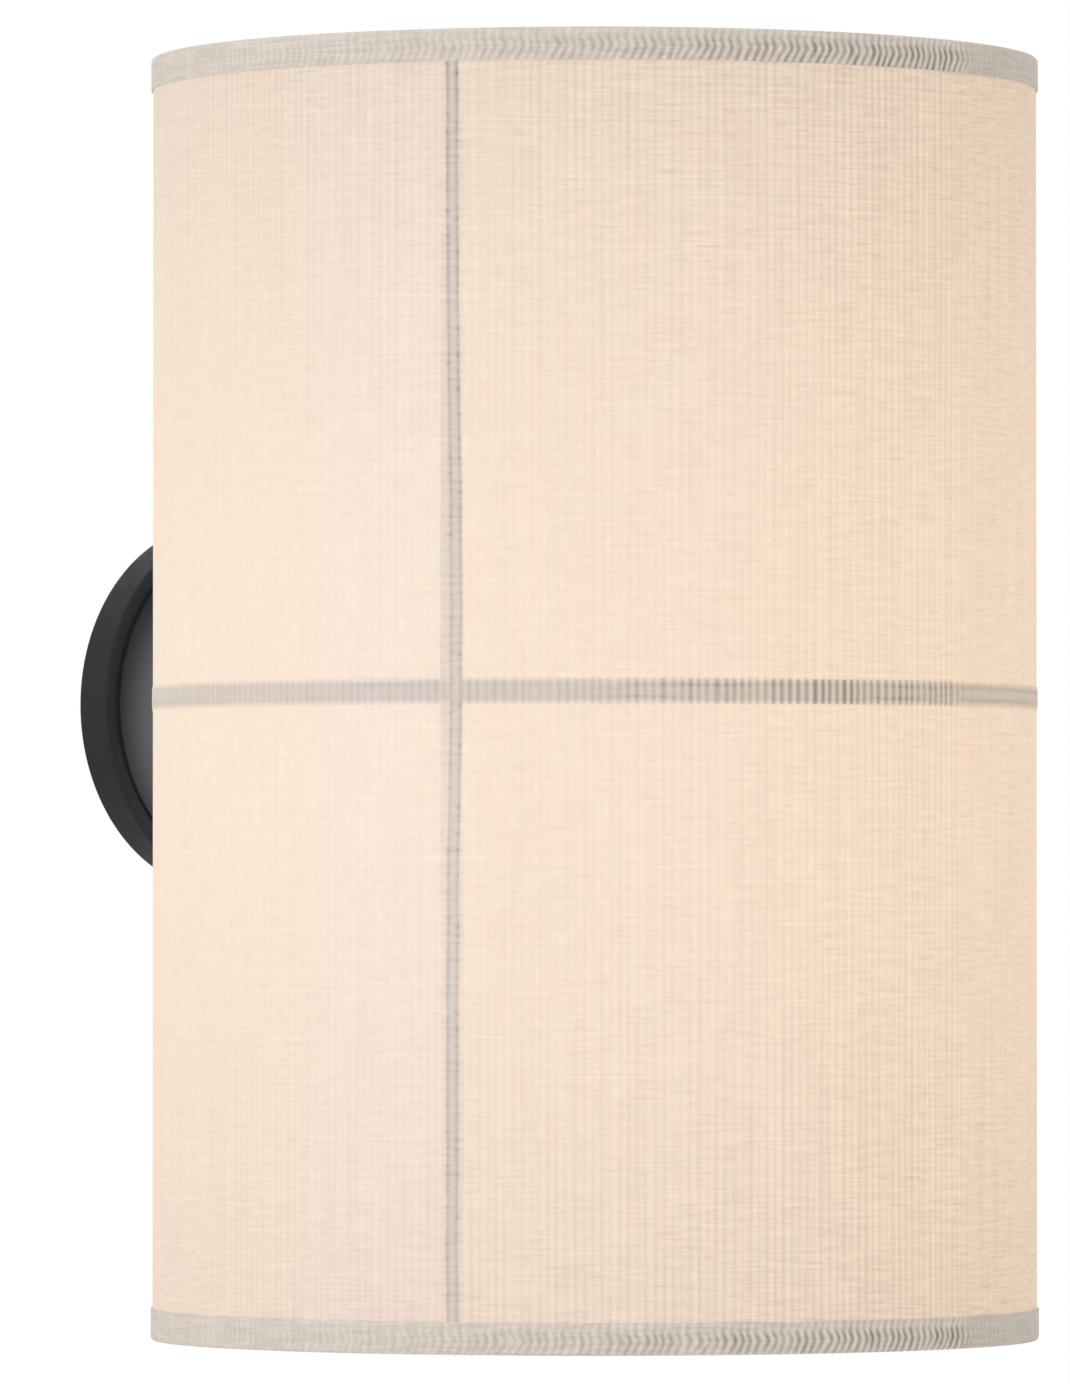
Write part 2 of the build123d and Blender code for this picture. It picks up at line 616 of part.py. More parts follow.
def jumper_lead(side):
    """One lead from lampholder to lampholder, through the bar and clear of the stem's nut."""
    near = HOLDER_SPACING / 2 - 0.9
    off = side * 1.5
    run = side * JUMPER_SIDE
    turn_in = HOLDER_SPACING / 2 - NUT_ACROSS
    points = [
        (-near, AXIS_Y + off, CORE_UNDERSIDE),
        (-near, AXIS_Y + off, JUMPER_LEVEL),
        (-turn_in, AXIS_Y + run, JUMPER_LEVEL),
        (turn_in, AXIS_Y + run, JUMPER_LEVEL),
        (near, AXIS_Y + off, JUMPER_LEVEL),
        (near, AXIS_Y + off, CORE_UNDERSIDE),
    ]
    return wire(points, [2.2, LEAD_BEND, LEAD_BEND, 2.2], LEAD_RADIUS)


# ---- the shade ----------------------------------------------------------------------------------

def arm_hole(radius):
    """What is cut from the shade's back for the arm and its grommet."""
    return level(radius, 0, AXIS_Y)


def shade_liner():
    liner = shade_band(LINER_INNER, LINER_OUTER, -LINEN_TOP, LINEN_TOP)
    return liner - arm_hole(GROMMET_BORE + GROMMET_WALL)


def linen_panel(middle, low, high):
    """One of the six panels, which meet under the seams."""
    panel = shade_band(LINER_OUTER, SHADE_RADIUS, low, high, middle, sweep=120)
    return panel - arm_hole(GROMMET_BORE + GROMMET_WALL)


def upright_seam(angle):
    """The tape over a joint between panels, above and below the waist tape."""
    sweep_angle = math.degrees(SEAM_WIDTH / SHADE_RADIUS)
    end = TOP - TRIM_WIDTH
    halves = []
    for low, high in ((-end, -WAIST_WIDTH / 2), (WAIST_WIDTH / 2, end)):
        tape = shade_band(SHADE_RADIUS, SEAM_RADIUS, low, high, angle, sweep_angle)
        halves.append(tape - arm_hole(GROMMET_BORE + GROMMET_WALL))
    return Compound(children=halves)


def waist_seam():
    tape = shade_band(SHADE_RADIUS, SEAM_RADIUS, -WAIST_WIDTH / 2, WAIST_WIDTH / 2)
    return tape - arm_hole(GROMMET_BORE + GROMMET_WALL)


def rim_trim(side):
    """The tape folded over a rim, round the wire ring, side +1 for the top and -1 for the bottom."""
    inner_leg = TRIM_INNER + TRIM_THICKNESS
    outline = [
        (SHADE_RADIUS + TRIM_THICKNESS, TOP),
        (SHADE_RADIUS + TRIM_THICKNESS, TOP - TRIM_WIDTH),
        (SHADE_RADIUS, TOP - TRIM_WIDTH),
        (SHADE_RADIUS, LINEN_TOP),
        (inner_leg, LINEN_TOP),
        (inner_leg, TOP - TRIM_INNER_WIDTH),
        (TRIM_INNER, TOP - TRIM_INNER_WIDTH),
        (TRIM_INNER, TOP),
    ]
    tape = turned(half_section(*[(r, side * h) for r, h in outline]))
    rims = tape.edges().filter_by(GeomType.CIRCLE).filter_by(
        lambda e: abs(abs(e.center().Z) - TOP) < 0.01)
    return round_shade(fillet(rims, TRIM_EDGE))


def shade_ring(side):
    return Pos(0, AXIS_Y, side * RING_HEIGHT) * Torus(RING_RADIUS, WIRE_RADIUS)


def spider_washer():
    hole = STUD_RADIUS + THREAD_GAP
    return upright(SPIDER_WASHER_RADIUS, SPIDER_UNDERSIDE, SPIDER_TOP, bore=hole)


def spider_spokes():
    """Three wires, welded to the top ring and to the spider's washer, one at each upright seam."""
    reach = SPIDER_WASHER_RADIUS - WIRE_RADIUS
    path = [(RING_RADIUS, 0, RING_HEIGHT), (RING_RADIUS, 0, SPIDER_Z), (reach, 0, SPIDER_Z)]
    straight = wire(path, SPOKE_BEND, WIRE_RADIUS)
    welded_to = shade_ring(1) + upright(SPIDER_WASHER_RADIUS, SPIDER_UNDERSIDE, SPIDER_TOP)
    spokes = []
    for angle in SEAM_ANGLES.values():
        spokes.append(round_shade(Rot(0, 0, compass(angle)) * straight) - welded_to)
    return Compound(children=spokes)


def grommet_flange(inner, outer, radius, bore):
    """A ring that follows the shade's curve round the arm."""
    wide = 4 * math.degrees(math.asin(radius / SHADE_RADIUS))
    shell = shade_band(inner, outer, -2 * radius, 2 * radius, 180, wide)
    return (shell & arm_hole(radius)) - arm_hole(bore)


def grommet_outer():
    flange = grommet_flange(SEAM_RADIUS, SEAM_RADIUS + GROMMET_THICKNESS, GROMMET_FLANGE, GROMMET_BORE)
    return flange + grommet_flange(LINER_INNER, SEAM_RADIUS, GROMMET_BORE + GROMMET_WALL, GROMMET_BORE)


def grommet_inner():
    bore = GROMMET_BORE + GROMMET_WALL
    return grommet_flange(LINER_INNER - GROMMET_THICKNESS, LINER_INNER, GROMMET_FLANGE, bore)


# ---- the finial ---------------------------------------------------------------------------------

FINIAL_WASHER_BASE = SPIDER_TOP + SEAT_GAP
FINIAL_BASE = FINIAL_WASHER_BASE + FINIAL_WASHER_THICKNESS
FINIAL_BORE = STUD_RADIUS + FINIAL_THREAD_GAP


def finial_washer():
    return upright(FINIAL_WASHER_RADIUS, FINIAL_WASHER_BASE, FINIAL_BASE, bore=FINIAL_BORE)


def finial():
    """The knob that holds the shade down: a flange, a neck and a ball, bored for the stud."""
    neck = FINIAL_BASE + FINIAL_BASE_HEIGHT
    ball = neck + FINIAL_NECK_HEIGHT + FINIAL_BALL_RADIUS - FINIAL_BALL_SINK
    flange = fillet(upright(FINIAL_BASE_RADIUS, FINIAL_BASE, neck).edges(), FINIAL_EDGE)
    knob = flange + upright(FINIAL_NECK_RADIUS, FINIAL_BASE + FINIAL_EDGE, ball)
    knob += Pos(0, AXIS_Y, ball) * Sphere(FINIAL_BALL_RADIUS)
    return knob - upright(FINIAL_BORE, FINIAL_BASE, FINIAL_BASE + STUD_LENGTH + FINIAL_HOLE_SPARE)


# ---- every piece to its own file ----------------------------------------------------------------

def main():
    os.makedirs("parts", exist_ok=True)

    save("wall_bracket", wall_bracket())
    save("ground_screw", ground_screw())
    save("nipple", nipple())
    save("nipple_washer", nipple_washer())
    save("nipple_nut", nipple_nut())
    save("canopy", canopy())
    save("canopy_collar", canopy_collar())
    save("wire_connectors", Compound(children=[wire_connector(1), wire_connector(-1)]))

    save("arm_tube", arm_tube())
    save("hub", hub())
    save("upper_stem", upper_stem())
    save("lower_stem", lower_stem())

    save("socket_bar", socket_bar())
    save("bar_cover", bar_cover())
    save("cover_screws", cover_screws())
    save("stem_nut", stem_nut())
    save("socket_nipples", socket_nipples())
    save("socket_nuts", socket_nuts())
    save("holder_cores", holder_cores())
    save("screw_shells", screw_shells())
    save("centre_contacts", centre_contacts())

    for side, x in HOLDER_XS.items():
        save(f"holder_shell_{side}", holder_shell(x))
        place = Pos(x, AXIS_Y, BULB_TIP)
        save(f"bulb_{side}_contact", place * bulb_contact())
        save(f"bulb_{side}_insulator", place * bulb_insulator())
        save(f"bulb_{side}_cap", place * bulb_cap())
        save(f"bulb_{side}_glass", place * bulb_glass())
        save(f"bulb_{side}_filaments", place * bulb_filaments())
        save(f"bulb_{side}_driver", place * bulb_driver())

    save("lead_live", main_lead(1))
    save("lead_neutral", main_lead(-1))
    save("jumper_leads", Compound(children=[jumper_lead(1), jumper_lead(-1)]))

    save("shade_liner", shade_liner())
    for name, middle in (("front", 0), ("left", -120), ("right", 120)):
        save(f"panel_{name}_upper", linen_panel(middle, 0, LINEN_TOP))
        save(f"panel_{name}_lower", linen_panel(middle, -LINEN_TOP, 0))
    for name, angle in SEAM_ANGLES.items():
        save(f"seam_{name}", upright_seam(angle))
    save("seam_waist", waist_seam())
    save("trim_top", rim_trim(1))
    save("trim_bottom", rim_trim(-1))
    save("ring_top", shade_ring(1))
    save("ring_bottom", shade_ring(-1))
    save("spider_spokes", spider_spokes())
    save("spider_washer", spider_washer())
    save("grommet_outer", grommet_outer())
    save("grommet_inner", grommet_inner())
    save("finial_washer", finial_washer())
    save("finial", finial())


main()
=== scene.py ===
# %% [markdown]
# # A wall light with a full drum shade of linen
#
# The light hangs on a wall: a black plate, an arm, and a tall drum shade that is lit from inside.
# The measured model comes first, as a fixed frame. Each cell after it dresses one piece of the
# real object. The pieces could be modelled here from nothing, but then each would need fitting:
# on the frame, every piece already has its place, its size and the body that it moves with.

# %% Load the measured frame
import json
import math

import bpy
import bmesh
import numpy as np
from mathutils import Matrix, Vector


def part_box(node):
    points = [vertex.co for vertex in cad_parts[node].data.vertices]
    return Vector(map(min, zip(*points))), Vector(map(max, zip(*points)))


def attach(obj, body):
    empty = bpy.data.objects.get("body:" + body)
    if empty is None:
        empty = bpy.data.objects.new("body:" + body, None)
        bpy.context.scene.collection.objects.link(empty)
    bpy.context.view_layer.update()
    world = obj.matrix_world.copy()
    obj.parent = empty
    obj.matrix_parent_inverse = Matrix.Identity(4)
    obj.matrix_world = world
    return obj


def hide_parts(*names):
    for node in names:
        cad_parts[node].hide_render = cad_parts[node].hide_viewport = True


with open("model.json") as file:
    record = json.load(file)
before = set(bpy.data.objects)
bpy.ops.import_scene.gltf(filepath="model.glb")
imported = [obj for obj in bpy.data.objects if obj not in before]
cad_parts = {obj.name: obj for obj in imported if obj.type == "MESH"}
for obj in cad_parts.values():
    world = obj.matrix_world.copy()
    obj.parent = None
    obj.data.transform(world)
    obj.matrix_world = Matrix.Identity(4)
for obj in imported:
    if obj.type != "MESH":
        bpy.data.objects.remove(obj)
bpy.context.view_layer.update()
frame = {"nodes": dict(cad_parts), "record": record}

print("nodes:", len(frame["nodes"]))

# %% [markdown]
# ## Sizes read from the frame
#
# Lengths are in metres, or in millimetres for the sections of small turned parts. The shade's
# radius, height and axis could be written here as numbers. They are read from the frame's own
# pieces instead, so that the cloth lies exactly where the measured shade is.

# %% Sizes
MM = 0.001
panel_low, panel_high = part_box("panel_front_upper")
trim_low, trim_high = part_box("trim_top")
liner_low, liner_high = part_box("shade_liner")
stem_low, stem_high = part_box("upper_stem")

AXIS_Y = (stem_low.y + stem_high.y) / 2
LINEN_R = AXIS_Y - panel_low.y
LINER_R = (liner_high.x - liner_low.x) / 2
TRIM_R = (trim_high.x - trim_low.x) / 2
SHADE_TOP = trim_high.z
LINEN_TOP = panel_high.z
print(f"axis y {AXIS_Y:.4f}  linen r {LINEN_R:.4f}  trim r {TRIM_R:.4f}  top {SHADE_TOP:.4f}")


def span(node, axis="z"):
    """A node's low and high end along an axis, in millimetres."""
    return [getattr(corner, axis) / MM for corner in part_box(node)]

# %% [markdown]
# ## Three helpers for meshes
#
# Nearly every piece here is either cloth wrapped round the shade or a turned part. Both are a
# grid of points: rows along a section, columns along the way round. One function turns a grid
# into a mesh, one makes the grid for a turned part, and one adds points to a section. Blender's
# Screw modifier turns a section too, but it can't cut a thread, a rib or a knurl into it on the
# way. Numbers in a grid can, and they are the same each time the script runs.

# %% Mesh helpers
SHARP = math.radians(34)
TOUCHING = 1e-7


def skin(name, points, around=True, closed=True, marks=None, merge=False):
    """A mesh over a grid of points (rows, columns, 3). around joins the last column to the
    first, closed joins the last row to the first, and open ends get a cap."""
    index = np.arange(points[..., 0].size).reshape(points.shape[:2])
    grid = np.vstack([index, index[:1]]) if closed else index
    grid = np.hstack([grid, grid[:, :1]]) if around else grid
    quads = np.stack([grid[:-1, :-1], grid[:-1, 1:], grid[1:, 1:], grid[1:, :-1]], -1)
    faces = quads.reshape(-1, 4).tolist()
    if closed and not around:
        faces += [index[:, 0].tolist(), index[::-1, -1].tolist()]
    if around and not closed and not merge:
        faces += [index[0, ::-1].tolist(), index[-1].tolist()]
    mesh = bpy.data.meshes.new(name)
    mesh.from_pydata(points.reshape(-1, 3).tolist(), [], faces)
    for label, values in (marks or {}).items():
        mark = mesh.attributes.new(label, "FLOAT", "POINT")
        mark.data.foreach_set("value", np.asarray(values, np.float32).ravel())
    tidy = bmesh.new()
    tidy.from_mesh(mesh)
    if merge:
        bmesh.ops.remove_doubles(tidy, verts=tidy.verts, dist=TOUCHING)
        bmesh.ops.dissolve_degenerate(tidy, edges=tidy.edges, dist=TOUCHING / 10)
    if (around or closed) and tidy.calc_volume(signed=True) < 0:
        bmesh.ops.reverse_faces(tidy, faces=tidy.faces)
    tidy.to_mesh(mesh)
    tidy.free()
    mesh.shade_smooth()
    mesh.set_sharp_from_angle(angle=SHARP)
    piece = bpy.data.objects.new(name, mesh)
    bpy.context.scene.collection.objects.link(piece)
    return piece


def stepped(outline, step):
    """The same line with more points, so that threads and ribs can be drawn on it."""
    line = [outline[0]]
    for first, last in zip(outline, outline[1:]):
        parts = max(1, math.ceil(math.dist(first, last) / step))
        line += [tuple(np.array(first) + (np.array(last) - first) * n / parts)
                 for n in range(1, parts + 1)]
    return line


UP, OUT = (0, 0, 1), (0, -1, 0)


def turned(name, outline, centre=(0, 0, 0), facing=UP, steps=72, ripples=(), closed=False):
    """A turned part from a line of (radius, height) points in millimetres, with its axis through
    centre, in metres, and facing a direction. A ripple changes the radius by angle and height.
    A line that isn't closed starts and ends on the axis."""
    outline = np.array(outline, float)
    angle = np.linspace(0, math.tau, steps, endpoint=False)[None, :]
    radius, height = np.repeat(outline[:, :1], steps, 1), np.repeat(outline[:, 1:], steps, 1)
    for ripple in ripples:
        radius = ripple(angle, radius, height)
    ahead = np.array(facing, float) / np.linalg.norm(facing)
    side = np.cross((0, 1, 0) if abs(ahead[1]) < 0.9 else (0, 0, 1), ahead)
    side /= np.linalg.norm(side)
    other = np.cross(ahead, side)
    parts = ((radius * np.cos(angle), side), (radius * np.sin(angle), other), (height, ahead))
    points = sum(MM * part[..., None] * axis for part, axis in parts)
    return skin(name, points + np.array(centre), closed=closed, merge=True)

# %% [markdown]
# ## Helpers for finishes
#
# Materials are drawn with nodes. They could be placed by hand in the shader editor, but a script
# can be read, changed and run again. These few functions add a node, link or fill its inputs, and
# give back what it puts out, so that each finish below reads as a short recipe. An effect that
# several finishes share becomes a node group.

# %% Material helpers
def feed(tree, socket, value):
    """Links a socket, or sets a plain value."""
    if isinstance(value, bpy.types.NodeSocket):
        tree.links.new(value, socket)
    else:
        socket.default_value = value


def add(tree, kind, inputs=None, **settings):
    """Adds one node with its options and inputs."""
    node = tree.nodes.new("ShaderNode" + kind)
    for option, value in settings.items():
        setattr(node, option, value)
    for label, value in (inputs or {}).items():
        feed(tree, node.inputs[label], value)
    return node


def calc(tree, operation, *values):
    """One step of arithmetic."""
    node = add(tree, "Math", operation=operation)
    for socket, value in zip(node.inputs, values):
        feed(tree, socket, value)
    return node.outputs[0]


def ramp(tree, value, low, high, start=0.0, end=1.0):
    """Stretches low..high to start..end, with a soft shoulder at both."""
    inputs = {"Value": value, "From Min": low, "From Max": high, "To Min": start, "To Max": end}
    return add(tree, "MapRange", inputs, interpolation_type="SMOOTHSTEP").outputs[0]


def mixed(tree, amount, first, second, mode="MIX"):
    """Two colours mixed."""
    node = add(tree, "Mix", data_type="RGBA", blend_type=mode)
    for place, value in ((0, amount), (6, first), (7, second)):
        feed(tree, node.inputs[place], value)
    return node.outputs[2]


def times(tree, first, second):
    """Two colours multiplied."""
    return mixed(tree, 1.0, first, second, "MULTIPLY")


def place_on(tree, kind="Object"):
    """The X, Y and Z of a point or of its normal, as the object's own coordinates give them."""
    return add(tree, "SeparateXYZ", {"Vector": add(tree, "TexCoord").outputs[kind]}).outputs


def noise(tree, vector, scale, detail=2.0, roughness=0.5):
    """A cloudy value from 0 to 1."""
    inputs = {"Vector": vector, "Scale": scale, "Detail": detail, "Roughness": roughness}
    return add(tree, "TexNoise", inputs).outputs["Fac"]


def effect(name, inputs, outputs):
    """A node group with named inputs and outputs: its tree, its input sockets, its output node."""
    tree = bpy.data.node_groups.new(name, "ShaderNodeTree")
    for label, value in inputs.items():
        kind = "NodeSocketFloat" if isinstance(value, (int, float)) else "NodeSocketColor"
        tree.interface.new_socket(label, in_out="INPUT", socket_type=kind).default_value = value
    for label in outputs:
        kind = "NodeSocketColor" if "Colour" in label else "NodeSocketFloat"
        tree.interface.new_socket(label, in_out="OUTPUT", socket_type=kind)
    return tree, tree.nodes.new("NodeGroupInput").outputs, tree.nodes.new("NodeGroupOutput")


def use(tree, group, inputs=None):
    """Places a node group in a material and returns its outputs."""
    node = add(tree, "Group", node_tree=group)
    for label, value in (inputs or {}).items():
        feed(tree, node.inputs[label], value)
    return node.outputs


def finish(name, **constants):
    """A new material: itself, its tree and its main shader, with sockets set that never vary."""
    material = bpy.data.materials.new(name)
    material.use_nodes = True
    shader = material.node_tree.nodes["Principled BSDF"]
    for label, value in constants.items():
        shader.inputs[label.replace("_", " ")].default_value = value
    return material, material.node_tree, shader


def reopened(material):
    """A material's tree and main shader, and the colour that it has so far."""
    shader = material.node_tree.nodes["Principled BSDF"]
    return material.node_tree, shader, shader.inputs["Base Color"].links[0].from_socket


def bump(tree, shader, height, distance, strength=1.0):
    """Lets a height push the surface in and out by a distance in metres."""
    node = add(tree, "Bump", {"Height": height, "Distance": distance, "Strength": strength})
    tree.links.new(node.outputs["Normal"], shader.inputs["Normal"])


def shade_of(red, green, blue):
    """A colour as a shader socket takes it."""
    return (red, green, blue, 1.0)


def grey(tree, value):
    """One value as a colour, to multiply another colour by."""
    return add(tree, "CombineColor", {"Red": value, "Green": value, "Blue": value}).outputs[0]

# %% [markdown]
# ## Shared effects
#
# *Around the shade* unrolls the drum: it gives how far round a point is, as a length, and how
# high. The cloth's threads are drawn in those two lengths, so they run truly upright and level.
# A UV map could unroll it as well, but each piece of cloth would need its own, cut to match its
# neighbours. It also gives two masks of painted light: a warm side, where the glow is tinted as if
# warmer light fell there, and a pale band, a painted sheen down one upright strip of the drum.

# %% Effect: around the shade
AROUND, _, out = effect("around the shade", {}, ["Arc", "Height", "Painted Warm Light", "Painted Sheen Band"])
spot = place_on(AROUND)
angle = calc(AROUND, "ARCTAN2", spot["X"], calc(AROUND, "SUBTRACT", AXIS_Y, spot["Y"]))
feed(AROUND, out.inputs["Arc"], calc(AROUND, "MULTIPLY", angle, LINEN_R))
feed(AROUND, out.inputs["Height"], spot["Z"])
# Painted light: a warmer tint of the glow on one side of the drum, and a painted sheen down one
# upright band.
WARMEST = math.radians(60)
facing_warm = calc(AROUND, "COSINE", calc(AROUND, "SUBTRACT", angle, WARMEST))
warm_side = calc(AROUND, "MULTIPLY_ADD", facing_warm, 0.5, 0.5)
feed(AROUND, out.inputs["Painted Warm Light"], calc(AROUND, "MULTIPLY", warm_side, warm_side))
BAND_AT, BAND_HALF = math.radians(-72), math.radians(17)
off_band = calc(AROUND, "ABSOLUTE", calc(AROUND, "SUBTRACT", angle, BAND_AT))
feed(AROUND, out.inputs["Painted Sheen Band"], ramp(AROUND, off_band, BAND_HALF, 0.0))

# %% [markdown]
# *Linen threads* draws what makes linen linen: slubs, the thick spots in the level threads that
# show as short dark dashes when light comes through; pale flecks where the cloth is thin; long
# upright and level streaks; and the fine plain weave itself, as a height for the bump. A photograph
# of linen could be laid on instead, but it would repeat, and it would bring its own light along.
# Noise that is stretched to a thread's width and length never repeats.

# %% Effect: linen threads
THREADS, given, out = effect(
    "linen threads", {"Arc": 0.0, "Height": 0.0},
    ["Slub", "Fleck", "Streak", "Level", "Patch", "Weave"])


def stretched(tree, arc, height, across, up, seed=0.0):
    """Unrolled coordinates, counted in units of a feature's width and height."""
    inputs = {"X": calc(tree, "DIVIDE", arc, across), "Y": calc(tree, "DIVIDE", height, up),
              "Z": seed}
    return add(tree, "CombineXYZ", inputs).outputs[0]


def thread_noise(across, up, seed, detail):
    """Noise in spots of a width and a height, in millimetres."""
    place = stretched(THREADS, given["Arc"], given["Height"], across * MM, up * MM, seed)
    return noise(THREADS, place, 1.0, detail)


slub_line, slub_crowd = thread_noise(6.5, 0.95, 0.0, 0.5), thread_noise(30, 12, 3.0, 1.0)
slub = calc(THREADS, "MULTIPLY", ramp(THREADS, slub_line, 0.52, 0.76),
            ramp(THREADS, slub_crowd, 0.30, 0.54, 0.15, 1.0))
fleck_spot, pale_thread = thread_noise(2.6, 6, 7.0, 1.0), thread_noise(60, 0.7, 23.0, 0.0)
fleck = calc(THREADS, "ADD", ramp(THREADS, fleck_spot, 0.56, 0.76),
             ramp(THREADS, pale_thread, 0.66, 0.78))
WARP_PITCH, WEFT_PITCH = 0.54 * MM, 0.48 * MM
warp = calc(THREADS, "SINE", calc(THREADS, "MULTIPLY", given["Arc"], math.tau / WARP_PITCH))
weft = calc(THREADS, "SINE", calc(THREADS, "MULTIPLY", given["Height"], math.tau / WEFT_PITCH))
weave = calc(THREADS, "MULTIPLY_ADD", slub, 2.5, calc(THREADS, "MULTIPLY", warp, weft))
drawn = {"Slub": slub, "Fleck": fleck, "Weave": weave,
         "Streak": thread_noise(1.9, 90, 11.0, 2.0), "Level": thread_noise(17, 1.15, 29.0, 1.0),
         "Patch": thread_noise(6, 26, 17.0, 1.0)}
for label, value in drawn.items():
    feed(THREADS, out.inputs[label], value)
print("linen threads:", len(THREADS.nodes), "nodes")

# %% [markdown]
# *Lit cloth* puts those threads over a cord pattern. Two marks come from the mesh itself: ridge,
# which is 1 on a cord and 0 in the valley beside it, and shown, which says how strongly the threads
# show there. The cords' colours could be drawn with a wave texture, but it would drift off the
# modelled cords. With marks on the mesh, colour and shape always agree. The valley colour is
# painted shade, darker where the cords' relief would shade the cloth.

# %% Effect: lit cloth
CLOTH, given, out = effect(
    "lit cloth",
    {"Ridge": 1.0, "Shown": 1.0, "Ridge Colour": shade_of(0.40, 0.38, 0.35),
     "Valley Shade Colour": shade_of(0.30, 0.27, 0.23), "Glow Colour": shade_of(0.60, 0.46, 0.35),
     "Valley Glow": 0.9, "Slubs": 0.1, "Flecks": 0.05, "Streaks": 0.1, "Fall": 0.2},
    ["Colour", "Glow Colour", "Roughness", "Weave"])
place = use(CLOTH, AROUND)
threads = use(CLOTH, THREADS, {"Arc": place["Arc"], "Height": place["Height"]})


def tinted(tree, colour, amount):
    """A colour multiplied by a grey value."""
    return times(tree, colour, grey(tree, amount))


def varied(amount, mask, sign):
    """1 where the mask is 0, and more or less than 1 by amount where it is 1."""
    return calc(CLOTH, "MULTIPLY_ADD", calc(CLOTH, "MULTIPLY", mask, sign), amount, 1.0)


WHITE = shade_of(1, 1, 1)
slubs = calc(CLOTH, "MULTIPLY_ADD", given["Shown"], 0.9, 0.1)
slubs = calc(CLOTH, "MULTIPLY", calc(CLOTH, "MULTIPLY", given["Slubs"], slubs), threads["Slub"])
slub_shadow = mixed(CLOTH, slubs, WHITE, shade_of(0.35, 0.0, 0.0))
streaks = calc(CLOTH, "MULTIPLY", given["Streaks"], given["Shown"])
streak = ramp(CLOTH, threads["Streak"], 0.3, 0.7, -1.0, 1.0)
level = ramp(CLOTH, threads["Level"], 0.3, 0.7, -1.0, 1.0)
tone = calc(CLOTH, "MULTIPLY", varied(streaks, streak, 1.0), varied(streaks, level, 1.1))
tone = calc(CLOTH, "MULTIPLY", tone, varied(given["Flecks"], threads["Fleck"], 1.0))
# Painted shade: valleys between the cords take a darker colour, as the cords' relief would shade
# them.
cords = mixed(CLOTH, given["Ridge"], given["Valley Shade Colour"], given["Ridge Colour"])
cords = times(CLOTH, cords, slub_shadow)
feed(CLOTH, out.inputs["Colour"], tinted(CLOTH, cords, tone))

# %% [markdown]
# The light that comes through the cloth is a glow in its finish. The bulbs inside could light the
# cloth from behind instead, through a translucent shader, but that light is slow to gather and
# noisy, and the exported model would lose it. The lamps stand at mid height, so the glow is
# strongest there and falls off towards both rims, and a valley holds back more of it than a cord.

# %% Effect: lit cloth, the lamp behind it
LAMP_HEIGHT, HALF_HEIGHT = -8 * MM, 190 * MM
off_middle = calc(CLOTH, "SUBTRACT", place["Height"], LAMP_HEIGHT)
off_middle = calc(CLOTH, "DIVIDE", off_middle, HALF_HEIGHT)
squared = calc(CLOTH, "MULTIPLY", off_middle, off_middle)
glow = calc(CLOTH, "SUBTRACT", 1.0, calc(CLOTH, "MULTIPLY", squared, given["Fall"]))
held_back = calc(CLOTH, "SUBTRACT", 1.0, given["Valley Glow"])
through = calc(CLOTH, "MULTIPLY_ADD", given["Ridge"], held_back, given["Valley Glow"])
glow = calc(CLOTH, "MULTIPLY", calc(CLOTH, "MULTIPLY", glow, tone), through)
# Painted light: the glow turns warmer on the painted warm side and a little bluer in the painted
# sheen band.
warm = mixed(CLOTH, place["Painted Warm Light"], WHITE, shade_of(0.95, 0.85, 0.72))
warm = mixed(CLOTH, place["Painted Sheen Band"], warm, shade_of(1.0, 1.003, 1.085))
patch = ramp(CLOTH, threads["Patch"], 0.35, 0.65)
blush = mixed(CLOTH, patch, shade_of(0.995, 1.008, 1.004), shade_of(1.0, 0.988, 0.990))
glow_colour = given["Glow Colour"]
for tint in (warm, blush, slub_shadow):
    glow_colour = times(CLOTH, glow_colour, tint)
feed(CLOTH, out.inputs["Glow Colour"], tinted(CLOTH, glow_colour, glow))
feed(CLOTH, out.inputs["Roughness"], calc(CLOTH, "MULTIPLY_ADD", given["Ridge"], -0.08, 0.96))
feed(CLOTH, out.inputs["Weave"], threads["Weave"])
print("lit cloth:", len(CLOTH.nodes), "nodes")

# %% [markdown]
# *Fine grain* is the faint unevenness of paint, plastic and cast metal: a height for the bump
# and a tone for colour and gloss. A flat colour would do for a diagram, but a real finish is never
# quite the same from place to place. *Worn edges* finds where a surface turns sharply outwards,
# where hands and tools rub a finish first. Painting each edge by hand would find them too, once;
# the pointiness of the mesh finds them again whenever a shape changes.

# %% Effects: fine grain and worn edges
CLOUD_SIZE = 0.12
GRAIN, given, out = effect("fine grain", {"Size": 1 * MM}, ["Tone", "Height"])
point = add(GRAIN, "TexCoord").outputs["Object"]
count = calc(GRAIN, "DIVIDE", 1.0, given["Size"])
clouds = noise(GRAIN, point, calc(GRAIN, "MULTIPLY", count, CLOUD_SIZE), 3.0)
feed(GRAIN, out.inputs["Tone"], clouds)
feed(GRAIN, out.inputs["Height"], noise(GRAIN, point, count, 2.0))

WORN, given, out = effect("worn edges", {"Reach": 0.04, "Patch Size": 4 * MM}, ["Worn"])
point = add(WORN, "TexCoord").outputs["Object"]
edge = add(WORN, "NewGeometry").outputs["Pointiness"]
patchy = noise(WORN, point, calc(WORN, "DIVIDE", 1.0, given["Patch Size"]), 4.0, 0.7)
start = calc(WORN, "SUBTRACT", 0.56, calc(WORN, "MULTIPLY", patchy, given["Reach"]))
feed(WORN, out.inputs["Worn"], ramp(WORN, edge, start, 0.60))
print("effects:", [group.name for group in bpy.data.node_groups])

# %% [markdown]
# ## The cloth finishes
#
# Three finishes come from the lit cloth: the linen itself, the tape over its seams, where four
# layers of cloth hold back the light, and the tape folded over the rims, where the wire behind
# stops nearly all of it. They could be three separate node trees, but they are one cloth, so only
# their colours and amounts differ. Sheen is the soft halo of loose fibres at a grazing angle.

